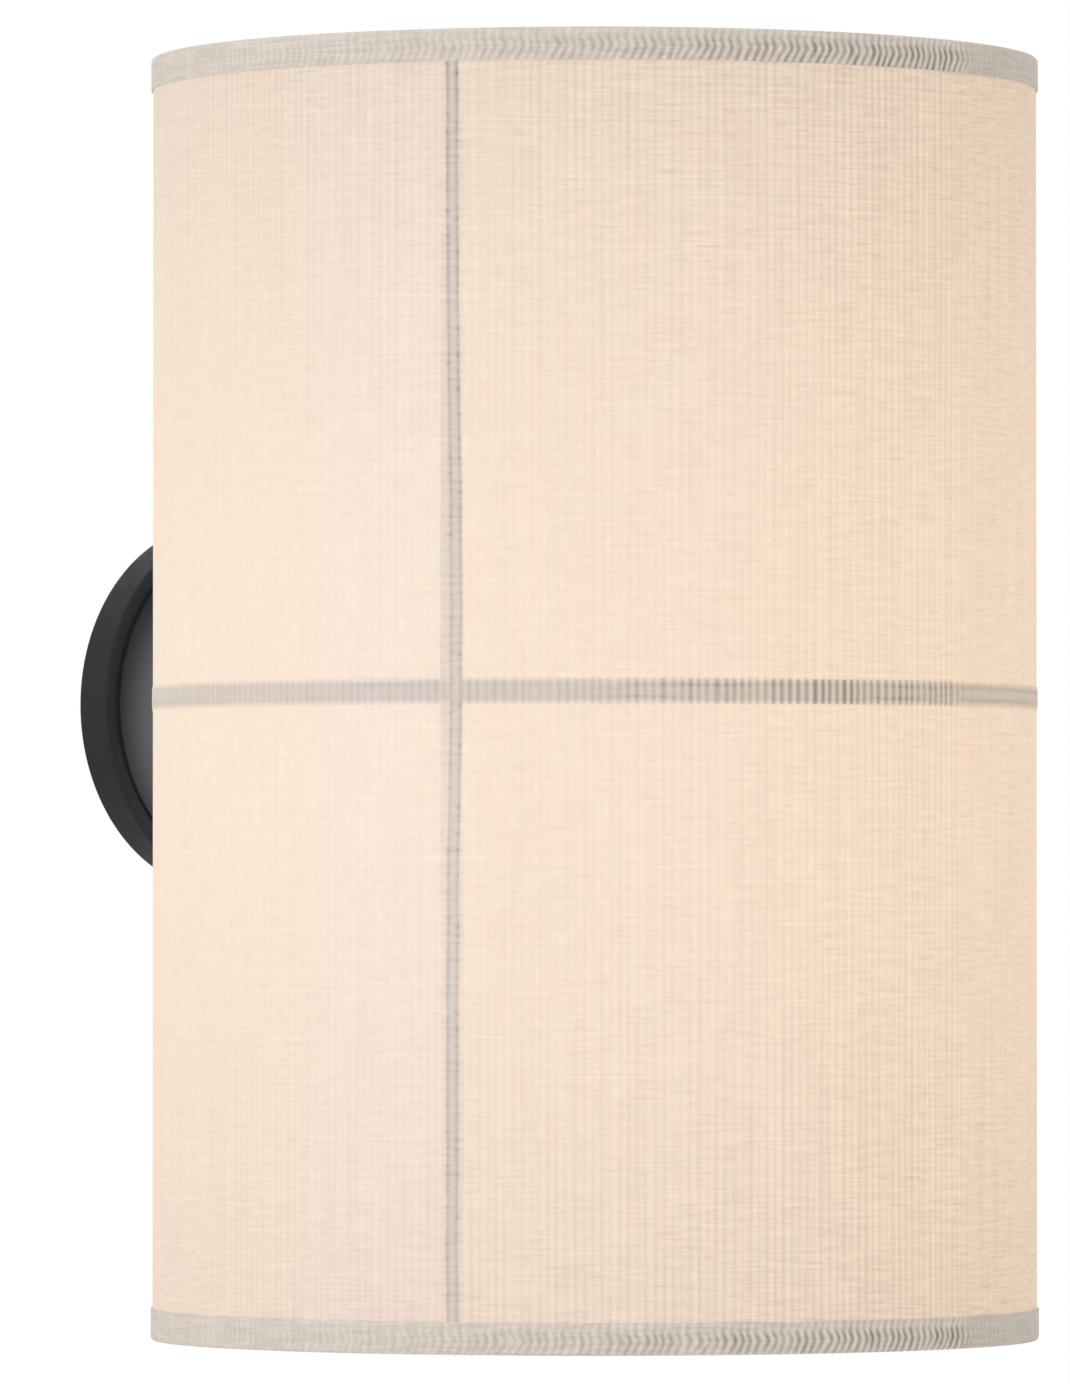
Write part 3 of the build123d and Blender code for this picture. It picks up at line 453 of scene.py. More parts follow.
# %% Cloth materials
def cloth_finish(name, ridge, valley, glow, rim=None, **amounts):
    """A cloth finish. rim gives the colours that its edges fade to, by the mesh's mark core."""
    material, tree, shader = finish(name, Sheen_Weight=0.12, Sheen_Roughness=0.45,
                                    Emission_Strength=1.0, Specular_IOR_Level=0.2)
    colours = {"Ridge Colour": ridge, "Valley Shade Colour": valley, "Glow Colour": glow}
    if rim:
        core = add(tree, "Attribute", attribute_name="core").outputs["Fac"]
        colours = {label: mixed(tree, core, shade_of(*outer), shade_of(*colour))
                   for (label, colour), outer in zip(colours.items(), rim)}
    else:
        colours = {label: shade_of(*colour) for label, colour in colours.items()}
    marks = {"Ridge": add(tree, "Attribute", attribute_name="ridge").outputs["Fac"],
             "Shown": add(tree, "Attribute", attribute_name="shown").outputs["Fac"]}
    amounts = {label.replace("_", " "): amount for label, amount in amounts.items()}
    made = use(tree, CLOTH, {**marks, **colours, **amounts})
    feed(tree, shader.inputs["Base Color"], made["Colour"])
    feed(tree, shader.inputs["Emission Color"], made["Glow Colour"])
    feed(tree, shader.inputs["Roughness"], made["Roughness"])
    bump(tree, shader, made["Weave"], 0.05 * MM, 0.6)
    return material


LINEN_RIDGE = (0.40, 0.38, 0.35)
# Each valley colour below is painted shade between the cords; the rim tape's is the darkest.
FINISHES = {
    "linen": cloth_finish(
        "corded linen", LINEN_RIDGE, (0.29, 0.267, 0.233), (0.637, 0.490, 0.373),
        Slubs=0.12, Flecks=0.035, Streaks=0.05, Valley_Glow=0.86, Fall=0.16),
    "seam_tape": cloth_finish(
        "seam tape", (0.30, 0.275, 0.255), (0.15, 0.13, 0.11), (0.49, 0.425, 0.365),
        rim=(LINEN_RIDGE, (0.22, 0.18, 0.14), (0.625, 0.475, 0.36)),
        Slubs=0.10, Flecks=0.05, Streaks=0.05, Valley_Glow=0.42, Fall=0.12),
    "rim_tape": cloth_finish(
        "rim tape", (0.81, 0.735, 0.66), (0.27, 0.24, 0.21), (0.045, 0.035, 0.025),
        Slubs=0.06, Flecks=0.05, Streaks=0.05, Valley_Glow=0.6, Fall=0.0),
}
print("cloth:", [material.name for material in FINISHES.values()])


def placed(piece, slot, node=None, body="fixture"):
    """Gives a piece its finish, its body and the plain solid that it stands for."""
    piece.data.materials.append(FINISHES[slot])
    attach(piece, body)
    if node:
        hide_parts(node)
    return piece

# %% [markdown]
# ## The linen panels
#
# The drum is six pieces of corded linen: three round the shade, each in two heights. The cords
# stand upright, 324 of them round the shade. A bump in the material could draw them, but the
# outline and the exported mesh would stay smooth, so they are real ridges in the mesh. Cloth is
# never quite even, so each cord swells and fades along its height, from noise with a fixed seed.

# %% Cords
CORDS = 324
PER_CORD = 6
rng = np.random.default_rng(20)


def soft_step(share):
    """0 to 1 with a soft start and a soft end."""
    return share * share * (3 - 2 * share)


def smooth_noise(rows, columns, cell_rows, cell_columns, wrap=True):
    """Random values from 0 to 1 on a coarse grid, drawn out smoothly to rows by columns."""
    coarse = rng.random((cell_rows + 1, cell_columns + (0 if wrap else 1)))
    if wrap:
        coarse = np.hstack([coarse, coarse[:, :1]])
    for axis, count, cells in ((0, rows, cell_rows), (1, columns, cell_columns)):
        place = np.linspace(0, cells, count)
        cell = np.minimum(place.astype(int), cells - 1)
        share = soft_step(place - cell)
        share = share[:, None] if axis == 0 else share
        first, last = (np.take(coarse, cell + n, axis) for n in (0, 1))
        coarse = first * (1 - share) + last * share
    return coarse


def cord_shape(phase, narrow=0.8):
    """1 on a cord's ridge and 0 in the valley between two cords. phase counts cords."""
    return np.abs(np.cos(np.pi * phase)) ** narrow


def on_shade(turn, radius, height):
    """Points at so many radians round from the front, at a radius and a height."""
    turn, radius, height = np.broadcast_arrays(turn, radius, height)
    return np.stack([radius * np.sin(turn), AXIS_Y - radius * np.cos(turn), height], -1)


SIDE_STRONGEST = math.radians(20)


def side_depth_and_shade(turn):
    """How deep the cords lie and how dark their valleys are painted: both are strongest on one side
    of the drum, where the darker valleys are painted shade of a side light.
    """
    return 0.2 + 0.8 * (0.5 + 0.5 * np.cos(turn - SIDE_STRONGEST)) ** 1.5


def ironed(turn):
    """1 where the cloth was ironed flat before it was glued and its cords are gone, else 0."""
    rise = np.clip((turn - math.radians(10)) / math.radians(4), 0, 1)
    fall = np.clip((math.radians(62) - turn) / math.radians(12), 0, 1)
    return soft_step(rise) * soft_step(fall)


def thread_show(turn, height):
    """How strongly threads show: least at the lamps' height, where the cloth is brightest, and most
    on the side of the drum with the painted valley shade.
    """
    return 0.12 + 0.36 * (height / HALF_HEIGHT) ** 2 + 0.42 * side_depth_and_shade(turn) ** 3


print("cords:", CORDS, " points round the shade:", CORDS * PER_CORD)

# %% [markdown]
# Each panel is one thin sheet glued to the stiff liner. It could be cut and laid by simulation, but
# glued cloth doesn't drape: it takes the liner's shape, so it is drawn on that shape. The mesh has
# one layer, and a Solidify modifier gives it the cloth's thickness. Where the arm comes through at
# the back, the points inside the hole are pushed out to its edge, and the faces left there go.

# %% Linen panels
CORD_HEIGHT = 0.13 * MM
LINEN_THICKNESS = 0.5 * MM
HOLE_R = 9 * MM
PANEL_ROWS = 60


def drop_faces(piece, inside):
    """Takes away the faces whose corners all lay inside the hole."""
    whole = bmesh.new()
    whole.from_mesh(piece.data)
    flat = inside.ravel()
    lost = [face for face in whole.faces if all(flat[corner.index] for corner in face.verts)]
    bmesh.ops.delete(whole, geom=lost, context="FACES")
    whole.to_mesh(piece.data)
    whole.free()


panels = {}
for side, middle in (("front", 0), ("left", -120), ("right", 120)):
    for level, low, high in (("upper", 0, LINEN_TOP), ("lower", -LINEN_TOP, 0)):
        columns = CORDS // 3 * PER_CORD + 1
        turn = np.radians(middle + np.linspace(-60, 60, columns))[None, :]
        height = np.linspace(low, high, PANEL_ROWS)[:, None]
        swell = smooth_noise(PANEL_ROWS, columns, 9, CORDS // 3, wrap=False)
        stray = 0.3 * (smooth_noise(PANEL_ROWS, columns, 3, CORDS // 5, wrap=False) - 0.5)
        shown = thread_show(turn, height)
        even = side_depth_and_shade(turn)
        cord = 1 - cord_shape(turn * CORDS / math.tau + stray)
        cord = cord * (1 - ironed(turn)) + 0.36 * ironed(turn)
        # ridge shapes the cords and colours them: on one side the valleys are deeper and carry more
        # painted shade.
        ridge = 1 - cord * (0.25 + 0.5 * even + (0.75 - 0.5 * even) * swell) * shown
        radius = LINEN_R - CORD_HEIGHT * (1 - ridge)
        arc, rise = np.broadcast_arrays((np.abs(turn) - math.pi) * LINEN_R, height)
        reach = np.maximum(np.hypot(arc, rise), 1e-6)
        inside = reach < HOLE_R
        push = np.where(inside, HOLE_R / reach, 1.0)
        opened = np.sign(turn) * (math.pi + arc * push / LINEN_R)
        points = on_shade(opened, radius, rise * push)
        panel = skin(f"linen_{side}_{level}", points, around=False, closed=False,
                     marks={"ridge": ridge, "shown": shown})
        if inside.any():
            drop_faces(panel, inside)
        thick = panel.modifiers.new("cloth thickness", "SOLIDIFY")
        thick.thickness, thick.offset = LINEN_THICKNESS, -1
        panels[side, level] = placed(panel, "linen", f"panel_{side}_{level}")
print("panels:", len(panels), "with", len(panel.data.polygons), "faces each")

# %% [markdown]
# ## The seams
#
# Where panels meet, their edges are turned in and pressed flat. Four layers of cloth then hold
# back the lamp, so a seam shows as a grey core between two darker fold lines, with paler margins
# where only two layers lie. It could be built layer on layer, but the layers are pressed to less
# than a millimetre and only their shadow shows. So a seam is one low strip, and its core and its
# fold lines are marks on the mesh.

# %% One seam's section
SEAM_HALF, CORE_HALF, FOLD_AT = 4.2 * MM, 2.0 * MM, 1.5 * MM
FOLD_WIDTH = 0.6 * MM
LEFT_SEAM, RIGHT_SEAM, BACK_SEAM = (math.radians(a) for a in (-60.7, 60, 180))
SEAM_RISE, SEAM_BURIED = 0.30 * MM, -0.25 * MM


def hump(value, middle, width):
    """1 at the middle, and softly down to nothing on both sides."""
    return np.exp(-((value - middle) / width) ** 2)


def seam_section(across, height, left_margin, right_margin):
    """At so many metres across an upright seam: how much of it is core, and its fold lines.
    Just over the waist the core drifts to the right of its margins."""
    drift = 1.3 * MM * hump(height, 25 * MM, 75 * MM)
    off_core = np.abs(across - drift)
    core = np.clip((CORE_HALF + FOLD_WIDTH / 2 - off_core) / FOLD_WIDTH, 0, 1)
    margin = np.where(across < drift, left_margin, right_margin)
    margin = margin * np.clip((SEAM_HALF - np.abs(across)) / (0.9 * MM), 0, 1)
    return np.maximum(core, margin), hump(off_core, FOLD_AT, FOLD_WIDTH)


print("a seam is", round(2 * SEAM_HALF / MM, 1), "mm wide, its core", 2 * CORE_HALF / MM, "mm")

# %% [markdown]
# An upright seam runs from rim to rim and is crossed by the waist seam, so it is made in two
# lengths. Straight lines would look printed. The folds come and go along it, the strip wanders by
# a quarter of a millimetre, and short cross threads show as ticks, all from seeded noise.

# %% Upright seams
SEAM_END = SHADE_TOP - 10 * MM
ROW_STEP, TICK_STEP = 0.7 * MM, 2.6 * MM


def upright_seam(name, node, middle, low, high):
    """One length of upright seam, as a closed strip with fold lines and short cross threads."""
    rows = int((high - low) / ROW_STEP) + 2
    height = np.linspace(low, high, rows)[:, None]
    share = np.concatenate([np.linspace(-1, 1, 29), [1.0, -1.0]])[None, :]
    across = share * SEAM_HALF
    wander = (smooth_noise(rows, 1, 16, 1) - 0.5) * 0.25 * MM
    near_waist = hump(height, 40 * MM, 70 * MM)
    left_margin = 0.14 + 0.50 * near_waist + 0.15 * smooth_noise(rows, 1, 6, 1)
    right_margin = 0.10 + 0.30 * smooth_noise(rows, 1, 6, 1) * (1 - near_waist)
    core, folds = seam_section(across, height, left_margin, right_margin)
    fold_depth = np.where(across < 0, smooth_noise(rows, 1, 12, 1), smooth_noise(rows, 1, 12, 1))
    firm = 0.27 + 0.20 * np.clip(height / HALF_HEIGHT, 0, 1)
    loose = smooth_noise(rows, share.shape[1], rows // 3, 3, wrap=False)
    ticks = np.abs(np.cos(np.pi * height / TICK_STEP + 2.5 * loose)) ** 5 * loose
    ridge = 1 - firm * folds * (0.6 + 0.5 * fold_depth + ticks)
    ridge = ridge - 0.20 * ticks * np.minimum(1, 3 * core)
    buried = np.clip((np.abs(height) - 1.0 * MM) / (5 * MM), 0, 1)
    lift = SEAM_RISE * (1 - np.abs(share) ** 6) * (0.3 + 0.7 * buried) - 0.05 * MM * folds
    lift[:, -2:] = SEAM_BURIED
    turn = middle + (across + wander) / LINEN_R
    marks = {"ridge": np.clip(ridge, 0, 1), "core": core, "shown": thread_show(turn, height)}
    strip = skin(name, on_shade(turn, LINEN_R + lift, height), closed=False, marks=marks)
    return placed(strip, "seam_tape", node)


seams = {}
for side, middle in (("left", LEFT_SEAM), ("right", RIGHT_SEAM), ("back", BACK_SEAM)):
    start = HOLE_R + 0.2 * MM if side == "back" else 0.5 * MM
    for level, low, high in (("upper", start, SEAM_END), ("lower", -SEAM_END, -start)):
        seams[side, level] = upright_seam(f"seam_{side}_{level}", f"seam_{side}", middle, low, high)
print("upright seams:", len(seams))

# %% [markdown]
# The waist seam crosses the cords, and the cords run on through it: between them the four layers
# are pressed together and look nearly black, while the ridges are nearly as pale as the linen. In
# some places they are pressed flat. Where the band's two ends lap over each other they are flat
# too, with only the lap's two fold lines. A plain grey band with a striped texture would look like
# tape, so the band is a mesh with a column of points for each sixth of a cord, as the panels are.

# %% Waist seam: where its cords are pressed
LAP_START, LAP_SOFT, LAP_NEAR = math.radians(9.5), math.radians(3), math.radians(15)
WAIST_HALF = 4.2 * MM
gap = HOLE_R / LINEN_R
columns = CORDS * PER_CORD
turn = np.linspace(-math.pi + gap, math.pi - gap, columns)[None, :]
section = np.concatenate([np.linspace(-1, 1, 21), [1.0, -1.0]])[:, None]
near_lap = np.clip((turn - LAP_START) / LAP_NEAR + 1, 0, 1) * (turn < RIGHT_SEAM)
# Painted shade: on one side of the drum the waist's valleys are drawn deeper and darker, as a side
# light would shade them.
full = (0.15 + side_depth_and_shade(turn) ** 3) * (1 - 0.4 * near_lap)
pressed = np.clip(1.9 * smooth_noise(1, columns, 1, 36, wrap=False) - 0.35, 0, 1)
even = side_depth_and_shade(turn)
each = 0.2 + 0.4 * even + (0.8 - 0.4 * even) * smooth_noise(1, columns, 1, CORDS, wrap=False)
lap = np.clip((turn - LAP_START) / LAP_SOFT, 0, 1) * (turn < RIGHT_SEAM)
crossing, crossing_folds = np.zeros_like(turn), np.zeros_like(turn)
for middle in (LEFT_SEAM, RIGHT_SEAM):
    core, folds = seam_section((turn - middle) * LINEN_R, 0, 0.45, 0.15)
    crossing, crossing_folds = crossing + core, crossing_folds + folds
depth = full * each * (0.35 + 0.4 * even + (0.65 - 0.4 * even) * pressed)
depth = depth * (1 - 0.9 * lap) * (1 - 0.75 * crossing)
stray = 0.5 * (smooth_noise(1, columns, 1, CORDS // 2, wrap=False) - 0.5)
valley = (1 - cord_shape(turn * CORDS / math.tau + stray, 1.8)) * depth
print("deepest valley in the waist seam:", round(float(valley.max()), 2))

# %% [markdown]
# Two rows of stitches hold the band, and they show only here and there, as dents that are deeper
# between the cords. Modelled stitches would be hundreds of loops of thread finer than a cord, so
# they are marks on the mesh, like the ridges. The band's edges curve down to the linen, and its
# last two rows of points lie buried in it, so no gap shows under the edge.

# %% Waist seam: its stitches and its mesh
STITCH_AT, STITCH_WIDTH = 0.42, 0.14
edge = 1 - np.abs(section)
stitch_low = hump(section, -STITCH_AT, STITCH_WIDTH)
stitch_high = hump(section, STITCH_AT, STITCH_WIDTH)
some_low, some_high = (smooth_noise(1, columns, 1, 40, wrap=False) for _ in "lh")
stitched = np.clip(1.6 * (stitch_low * some_low + stitch_high * some_high) - 0.35, 0, 1)
ridge = 0.94 - 1.15 * valley * np.clip(0.35 + edge / 0.25, 0, 1)
ridge = ridge - 0.40 * stitched * (0.25 + 2.2 * valley) - 0.20 * crossing_folds
ridge = ridge - lap * (0.13 + 0.22 * (stitch_low + stitch_high)) * np.clip(edge / 0.2, 0, 1)
core = np.maximum(np.clip((edge - 0.12) / 0.26, 0, 1), crossing)
lift = SEAM_RISE * np.clip(1 - np.abs(section) ** 4, 0, 1) * (1 + 0.4 * crossing)
lift = lift - 0.18 * MM * valley
lift[-2:] = SEAM_BURIED
marks = {"ridge": np.clip(ridge, 0, 1), "core": core, "shown": thread_show(turn, 0 * section)}
points = on_shade(turn, LINEN_R + lift, section * WAIST_HALF)
waist = skin("seam_waist_band", points, around=False, marks=marks)
placed(waist, "seam_tape", "seam_waist")
print("waist seam faces:", len(waist.data.polygons))

# %% [markdown]
# ## The rim tapes
#
# A strip of the same corded cloth is glued over each wire ring. Pulled round the wire, its cords
# lean in an S: from the lower edge they slope to the right, turn back at the bulge of the wire, and
# slope right again over the top. A cloth simulation could fold a strip over the ring, but it would
# lose the cords, which are finer than its grid. The tape's section is a folded channel, drawn once
# and carried round the shade, and each cord leans by a share of its own spacing.

# %% Rim tapes
TAPE_DEEP, TAPE_INSIDE, TAPE_THICK = 10 * MM, 8 * MM, TRIM_R - LINEN_R
TAPE_EDGE = 1.3 * MM
LINER_THICKNESS, RING_WIRE = 1.0 * MM, 3.0 * MM
INNER_R = LINER_R - LINER_THICKNESS - RING_WIRE - TAPE_THICK
TAPE_RELIEF = 0.30 * MM
S_HEIGHTS, S_LEAN = (0, 0.38, 0.48, 0.70, 1.0), (-0.70, 0.0, 0.0, -0.36, -0.08)


def tape_section():
    """The channel's section as (radius, distance below the top): what shows, then its inside."""
    leg = [(TRIM_R, d) for d in np.linspace(TAPE_DEEP, TAPE_EDGE, 17)]
    corner = [(TRIM_R - TAPE_EDGE * (1 - math.cos(a)), TAPE_EDGE * (1 - math.sin(a)))
              for a in np.radians([25, 45, 65, 90])]
    back = [(INNER_R + TAPE_EDGE * (1 - math.sin(a)), TAPE_EDGE * (1 - math.cos(a)))
            for a in np.radians([0, 25, 45, 65, 90])]
    inner = [(INNER_R, d) for d in np.linspace(TAPE_EDGE, TAPE_INSIDE, 5)[1:]]
    hollow = [(INNER_R + TAPE_THICK, TAPE_INSIDE), (INNER_R + TAPE_THICK, TAPE_THICK),
              (LINEN_R, TAPE_THICK), (LINEN_R, TAPE_DEEP)]
    return np.array(leg + corner + back + inner), np.array(hollow)


outside, hollow = tape_section()
step = np.gradient(outside, axis=0)
normal = np.stack([-step[:, 1], step[:, 0]], -1)
normal *= np.sign(normal[0, 0]) / np.linalg.norm(normal, axis=1)[:, None]
run = np.concatenate([[0], np.cumsum(np.linalg.norm(np.diff(outside, axis=0), axis=1))])[:, None]
rows = len(outside)
turn = np.linspace(-math.pi, math.pi, columns, endpoint=False)[None, :]
flattened = ironed(turn)
for side, sign in (("top", 1), ("bottom", -1)):
    share = np.clip(1 - outside[:, 1:] / TAPE_DEEP, 0, 1)
    share = share if sign > 0 else 1 - share
    stray = 0.45 * (smooth_noise(rows, columns, 3, CORDS // 2) - 0.5)
    phase = turn * CORDS / math.tau - np.interp(share, S_HEIGHTS, S_LEAN) + stray
    each = 0.45 + 0.55 * smooth_noise(rows, columns, 3, CORDS)
    crease = np.interp(share, (0, 0.3, 0.6, 0.75, 1), (0.85, 1.0, 1.0, 0.5, 0.4))
    over_top = np.clip((run - TAPE_DEEP + 2.0 * MM) / (3.0 * MM), 0, 1)
    valley = (1 - cord_shape(phase, 1.7)) * each * crease * (1 - 0.4 * over_top)
    valley = valley * (1 - 0.85 * flattened) + 0.19 * flattened
    depth = TAPE_RELIEF * valley * (0.6 + 0.4 * side_depth_and_shade(turn))
    radius, down = (np.vstack([outside[:, n:n + 1] - normal[:, n:n + 1] * depth,
                               np.repeat(hollow[:, n:n + 1], columns, 1)]) for n in (0, 1))
    # Painted shade: the tape's valleys are drawn darker on one side of the drum, as a side light
    # would shade them.
    full = 0.15 + 1.22 * side_depth_and_shade(turn) ** 3
    ridge = np.vstack([1 - np.clip(valley * full, 0, 1), np.full((len(hollow), columns), 0.5)])
    points = on_shade(turn, radius, sign * (SHADE_TOP - down))
    tape = skin(f"rim_tape_{side}", points, marks={"ridge": ridge, "shown": np.ones_like(ridge)})
    placed(tape, "rim_tape", f"trim_{side}")
print("rim tapes:", len(tape.data.polygons), "faces each")

# %% [markdown]
# ## What each sheet was cut to
#
# Each panel was a flat piece 292 mm wide and 201 mm high before it was rolled. It is glued to the
# liner, so it is held stretched. A seam is the folded edges of two panels, so each seam is listed
# with one of them; nothing below uses these lists.

SEAMS_WITH = {"front": ("left", "right"), "left": ("back",), "right": ()}
for (side, level), panel in panels.items():
    extra = [seams[seam_side, level] for seam_side in SEAMS_WITH[side]]
    if (side, level) == ("front", "upper"):
        extra.append(waist)
print("sheets:", len(panels), "panels and 2 rim tapes")

# %% [markdown]
# ## Finishes for paint, plastic, ceramic, glass and metal
#
# Paint, moulded plastic, glazed ceramic and plated metal differ in colour, gloss and grain, but
# all are nearly even. One colour with one roughness would be quicker, and would look like plastic
# in all of them. So every hard finish has a faint cloud in its colour, gloss that varies a little
# and a fine grain, and one function makes them all from a row of numbers.

# %% Hard finishes
def clouded(tree, shader, grain, darker, colour, rough):
    """A colour with a cloud in it, and gloss that varies. Gives the grain, cloud and colour."""
    grained = use(tree, GRAIN, {"Size": grain * MM})
    cloud = ramp(tree, grained["Tone"], 0.3, 0.7)
    base = mixed(tree, cloud, shade_of(*darker), shade_of(*colour))
    feed(tree, shader.inputs["Base Color"], base)
    feed(tree, shader.inputs["Roughness"], ramp(tree, grained["Tone"], 0.25, 0.75, *rough))
    return grained, cloud, base


def plain_finish(name, colour, roughness, grain, rise, spread, worn=None, **constants):
    """A hard finish from its colour, roughness, grain and rise in millimetres, and its spread
    from dark to light. worn is the colour of its worn edges and how far they reach."""
    material, tree, shader = finish(name, **constants)
    darker = [part * (1 - spread) for part in colour]
    rough = roughness * 0.82, roughness * 1.18
    grained, _, base = clouded(tree, shader, grain, darker, colour, rough)
    if worn:
        rubbed = use(tree, WORN, {"Reach": worn[1], "Patch Size": 4 * MM})["Worn"]
        feed(tree, shader.inputs["Base Color"], mixed(tree, rubbed, base, shade_of(*worn[0])))
    bump(tree, shader, grained["Height"], rise * MM)
    return material


HARD_FINISHES = {
    "wall_black": ("satin black paint", (0.024, 0.027, 0.031), 0.42, 0.7, 0.012, 0.2,
                   ((0.09, 0.09, 0.09), 0.03)),
    "zinc_steel": ("zinc plated steel", (0.62, 0.62, 0.60), 0.34, 1.2, 0.01, 0.18),
    "ground_green": ("green ground screw", (0.02, 0.26, 0.09), 0.35, 1.0, 0.01, 0.2),
    "connector_orange": ("orange connector", (0.80, 0.22, 0.03), 0.45, 1.0, 0.02, 0.1),
    "holder_black": ("black lampholder", (0.022, 0.022, 0.023), 0.38, 0.9, 0.02, 0.2),
    "core_white": ("white ceramic core", (0.82, 0.80, 0.75), 0.25, 1.5, 0.02, 0.06),
    "brass": ("stamped brass", (0.80, 0.58, 0.26), 0.30, 1.0, 0.01, 0.15),
    "bulb_cap": ("nickel plated cap", (0.68, 0.66, 0.62), 0.28, 1.0, 0.01, 0.12),
    "black_glass": ("black glass", (0.012, 0.012, 0.016), 0.10, 2.0, 0.005, 0.2),
    "driver_board": ("potted board", (0.06, 0.17, 0.08), 0.5, 1.0, 0.03, 0.3),
    "lead_black": ("black lead", (0.025, 0.025, 0.026), 0.5, 0.6, 0.02, 0.2),
    "lead_white": ("white lead", (0.80, 0.79, 0.75), 0.5, 0.6, 0.02, 0.08),
    "wire_white": ("white painted wire", (0.82, 0.80, 0.76), 0.45, 0.8, 0.015, 0.06,
                   ((0.45, 0.43, 0.40), 0.04)),
    "grommet_white": ("nylon grommet", (0.80, 0.76, 0.68), 0.35, 1.0, 0.01, 0.06),
    "plate_black": ("wall plate paint", (0.020, 0.022, 0.025), 0.45, 0.7, 0.012, 0.12),
}
ALL_METAL = {"Metallic": 1.0}
SAME_ALL_OVER = {
    "wall_black": {"Specular_IOR_Level": 0.25}, "plate_black": {"Specular_IOR_Level": 0.16},
    "zinc_steel": ALL_METAL, "brass": ALL_METAL, "bulb_cap": ALL_METAL,
    "ground_green": {"Metallic": 0.6},
    "core_white": {"Coat_Weight": 0.5}, "black_glass": {"Coat_Weight": 0.3},
}
for slot, recipe in HARD_FINISHES.items():
    FINISHES[slot] = plain_finish(*recipe, **SAME_ALL_OVER.get(slot, {}))
print("hard finishes:", len(HARD_FINISHES))

# %% [markdown]
# Zinc freezes on steel in crystals a few millimetres across, each a little lighter or darker than
# the next. Cloudy noise has no edges, so it would look like dirt. A Voronoi pattern has the same
# flat cells as the crystals, and gives the zinc its spangle.

# %% Zinc spangle
CELLS_PER_M = 260.0
tree, shader, zinc = reopened(FINISHES["zinc_steel"])
where = add(tree, "TexCoord").outputs["Object"]
crystal = add(tree, "TexVoronoi", {"Vector": where, "Scale": CELLS_PER_M}).outputs["Color"]
split = add(tree, "SeparateColor", {"Color": crystal}).outputs
tone = mixed(tree, split["Red"], shade_of(0.80, 0.81, 0.83), WHITE)
feed(tree, shader.inputs["Base Color"], times(tree, zinc, tone))
feed(tree, shader.inputs["Roughness"], ramp(tree, split["Green"], 0.0, 1.0, 0.26, 0.44))
print("zinc cells about", round(1000 / CELLS_PER_M, 1), "mm across")

# %% [markdown]
# The wall plate has the same black paint, with painted light on it. Its dome carries a painted
# highlight, greyer and bluer towards the middle than the flat ledge and the side wall, and the
# faces that look outwards get a bluer black that offsets the warm reflection of the lit shade. The
# patch could be painted by hand onto a UV map. Here it is drawn by the distance from a point a
# little below the plate's centre, and by which way the surface faces, so it stays off the side wall
# and the inside.

# %% Wall plate paint and its painted highlight
tree, shader, paint = reopened(FINISHES["plate_black"])
plate_low, plate_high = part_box("canopy")
PLATE_R = (plate_high.x - plate_low.x) / 2
HIGHLIGHT_LOWER = 4 * MM
spot = place_on(tree)
down = calc(tree, "ADD", spot["Z"], HIGHLIGHT_LOWER)
squares = [calc(tree, "MULTIPLY", side, side) for side in (spot["X"], down)]
off_middle = calc(tree, "SQRT", calc(tree, "ADD", *squares))
outside = ramp(tree, place_on(tree, "Normal")["Y"], 0.0, -0.3)
# Painted highlight: a grey-blue patch on the dome, centred a little below the plate's middle.
rubbed = calc(tree, "MULTIPLY", outside, ramp(tree, off_middle, 0.97 * PLATE_R, 0.66 * PLATE_R))
# Painted reflection: faces that look outwards get a bluer black, offsetting the lit shade's warm
# reflection.
paint = mixed(tree, outside, paint, shade_of(0.019, 0.027, 0.036))
feed(tree, shader.inputs["Base Color"], mixed(tree, rubbed, paint, shade_of(0.150, 0.180, 0.210)))
print("plate radius:", round(PLATE_R, 4))

# %% [markdown]
# Three pieces give light: the liner that the lamps shine through, the bulbs' frosted glass, and the
# filament rods in them. Real lamps inside the bulbs would need many samples before their light is
# smooth, so each of these pieces glows by itself. The liner and the glass are brightest nearest the
# filaments and fall off away from them, which keeps their roundness.

# %% Liner, bulb glass and filament
def glowing(name, grain, darker, colour, rough):
    """A clouded finish that can glow: its material, tree, shader, grain and cloud."""
    material, tree, shader = finish(name, Emission_Strength=1.0)
    grained, cloud, _ = clouded(tree, shader, grain, darker, colour, rough)
    return material, tree, shader, grained, cloud


FINISHES["liner_white"], tree, shader, grained, soft = glowing(
    "white liner", 0.6, (0.76, 0.74, 0.71), (0.80, 0.78, 0.75), (0.6, 0.8))
height = calc(tree, "DIVIDE", use(tree, AROUND)["Height"], HALF_HEIGHT)
lamp_near = ramp(tree, calc(tree, "ABSOLUTE", height), 1.1, 0.0)
glow = mixed(tree, lamp_near, shade_of(0.16, 0.10, 0.065), shade_of(0.46, 0.36, 0.26))
glow = tinted(tree, glow, ramp(tree, soft, 0.0, 1.0, 0.94, 1.0))
feed(tree, shader.inputs["Emission Color"], glow)
bump(tree, shader, grained["Height"], 0.01 * MM)

FINISHES["bulb_glass"], tree, shader, grained, soft = glowing(
    "frosted bulb", 0.5, (0.84, 0.81, 0.75), (0.88, 0.86, 0.81), (0.3, 0.45))
BULB_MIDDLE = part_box("bulb_left_glass")[1].z - 30 * MM
off_middle = calc(tree, "SUBTRACT", place_on(tree)["Z"], BULB_MIDDLE)
lamp_near = ramp(tree, calc(tree, "ABSOLUTE", off_middle), 34 * MM, 4 * MM)
glow = mixed(tree, lamp_near, shade_of(0.46, 0.32, 0.20), shade_of(0.92, 0.78, 0.58))
glow = tinted(tree, glow, ramp(tree, soft, 0.0, 1.0, 0.96, 1.0))
feed(tree, shader.inputs["Emission Color"], glow)

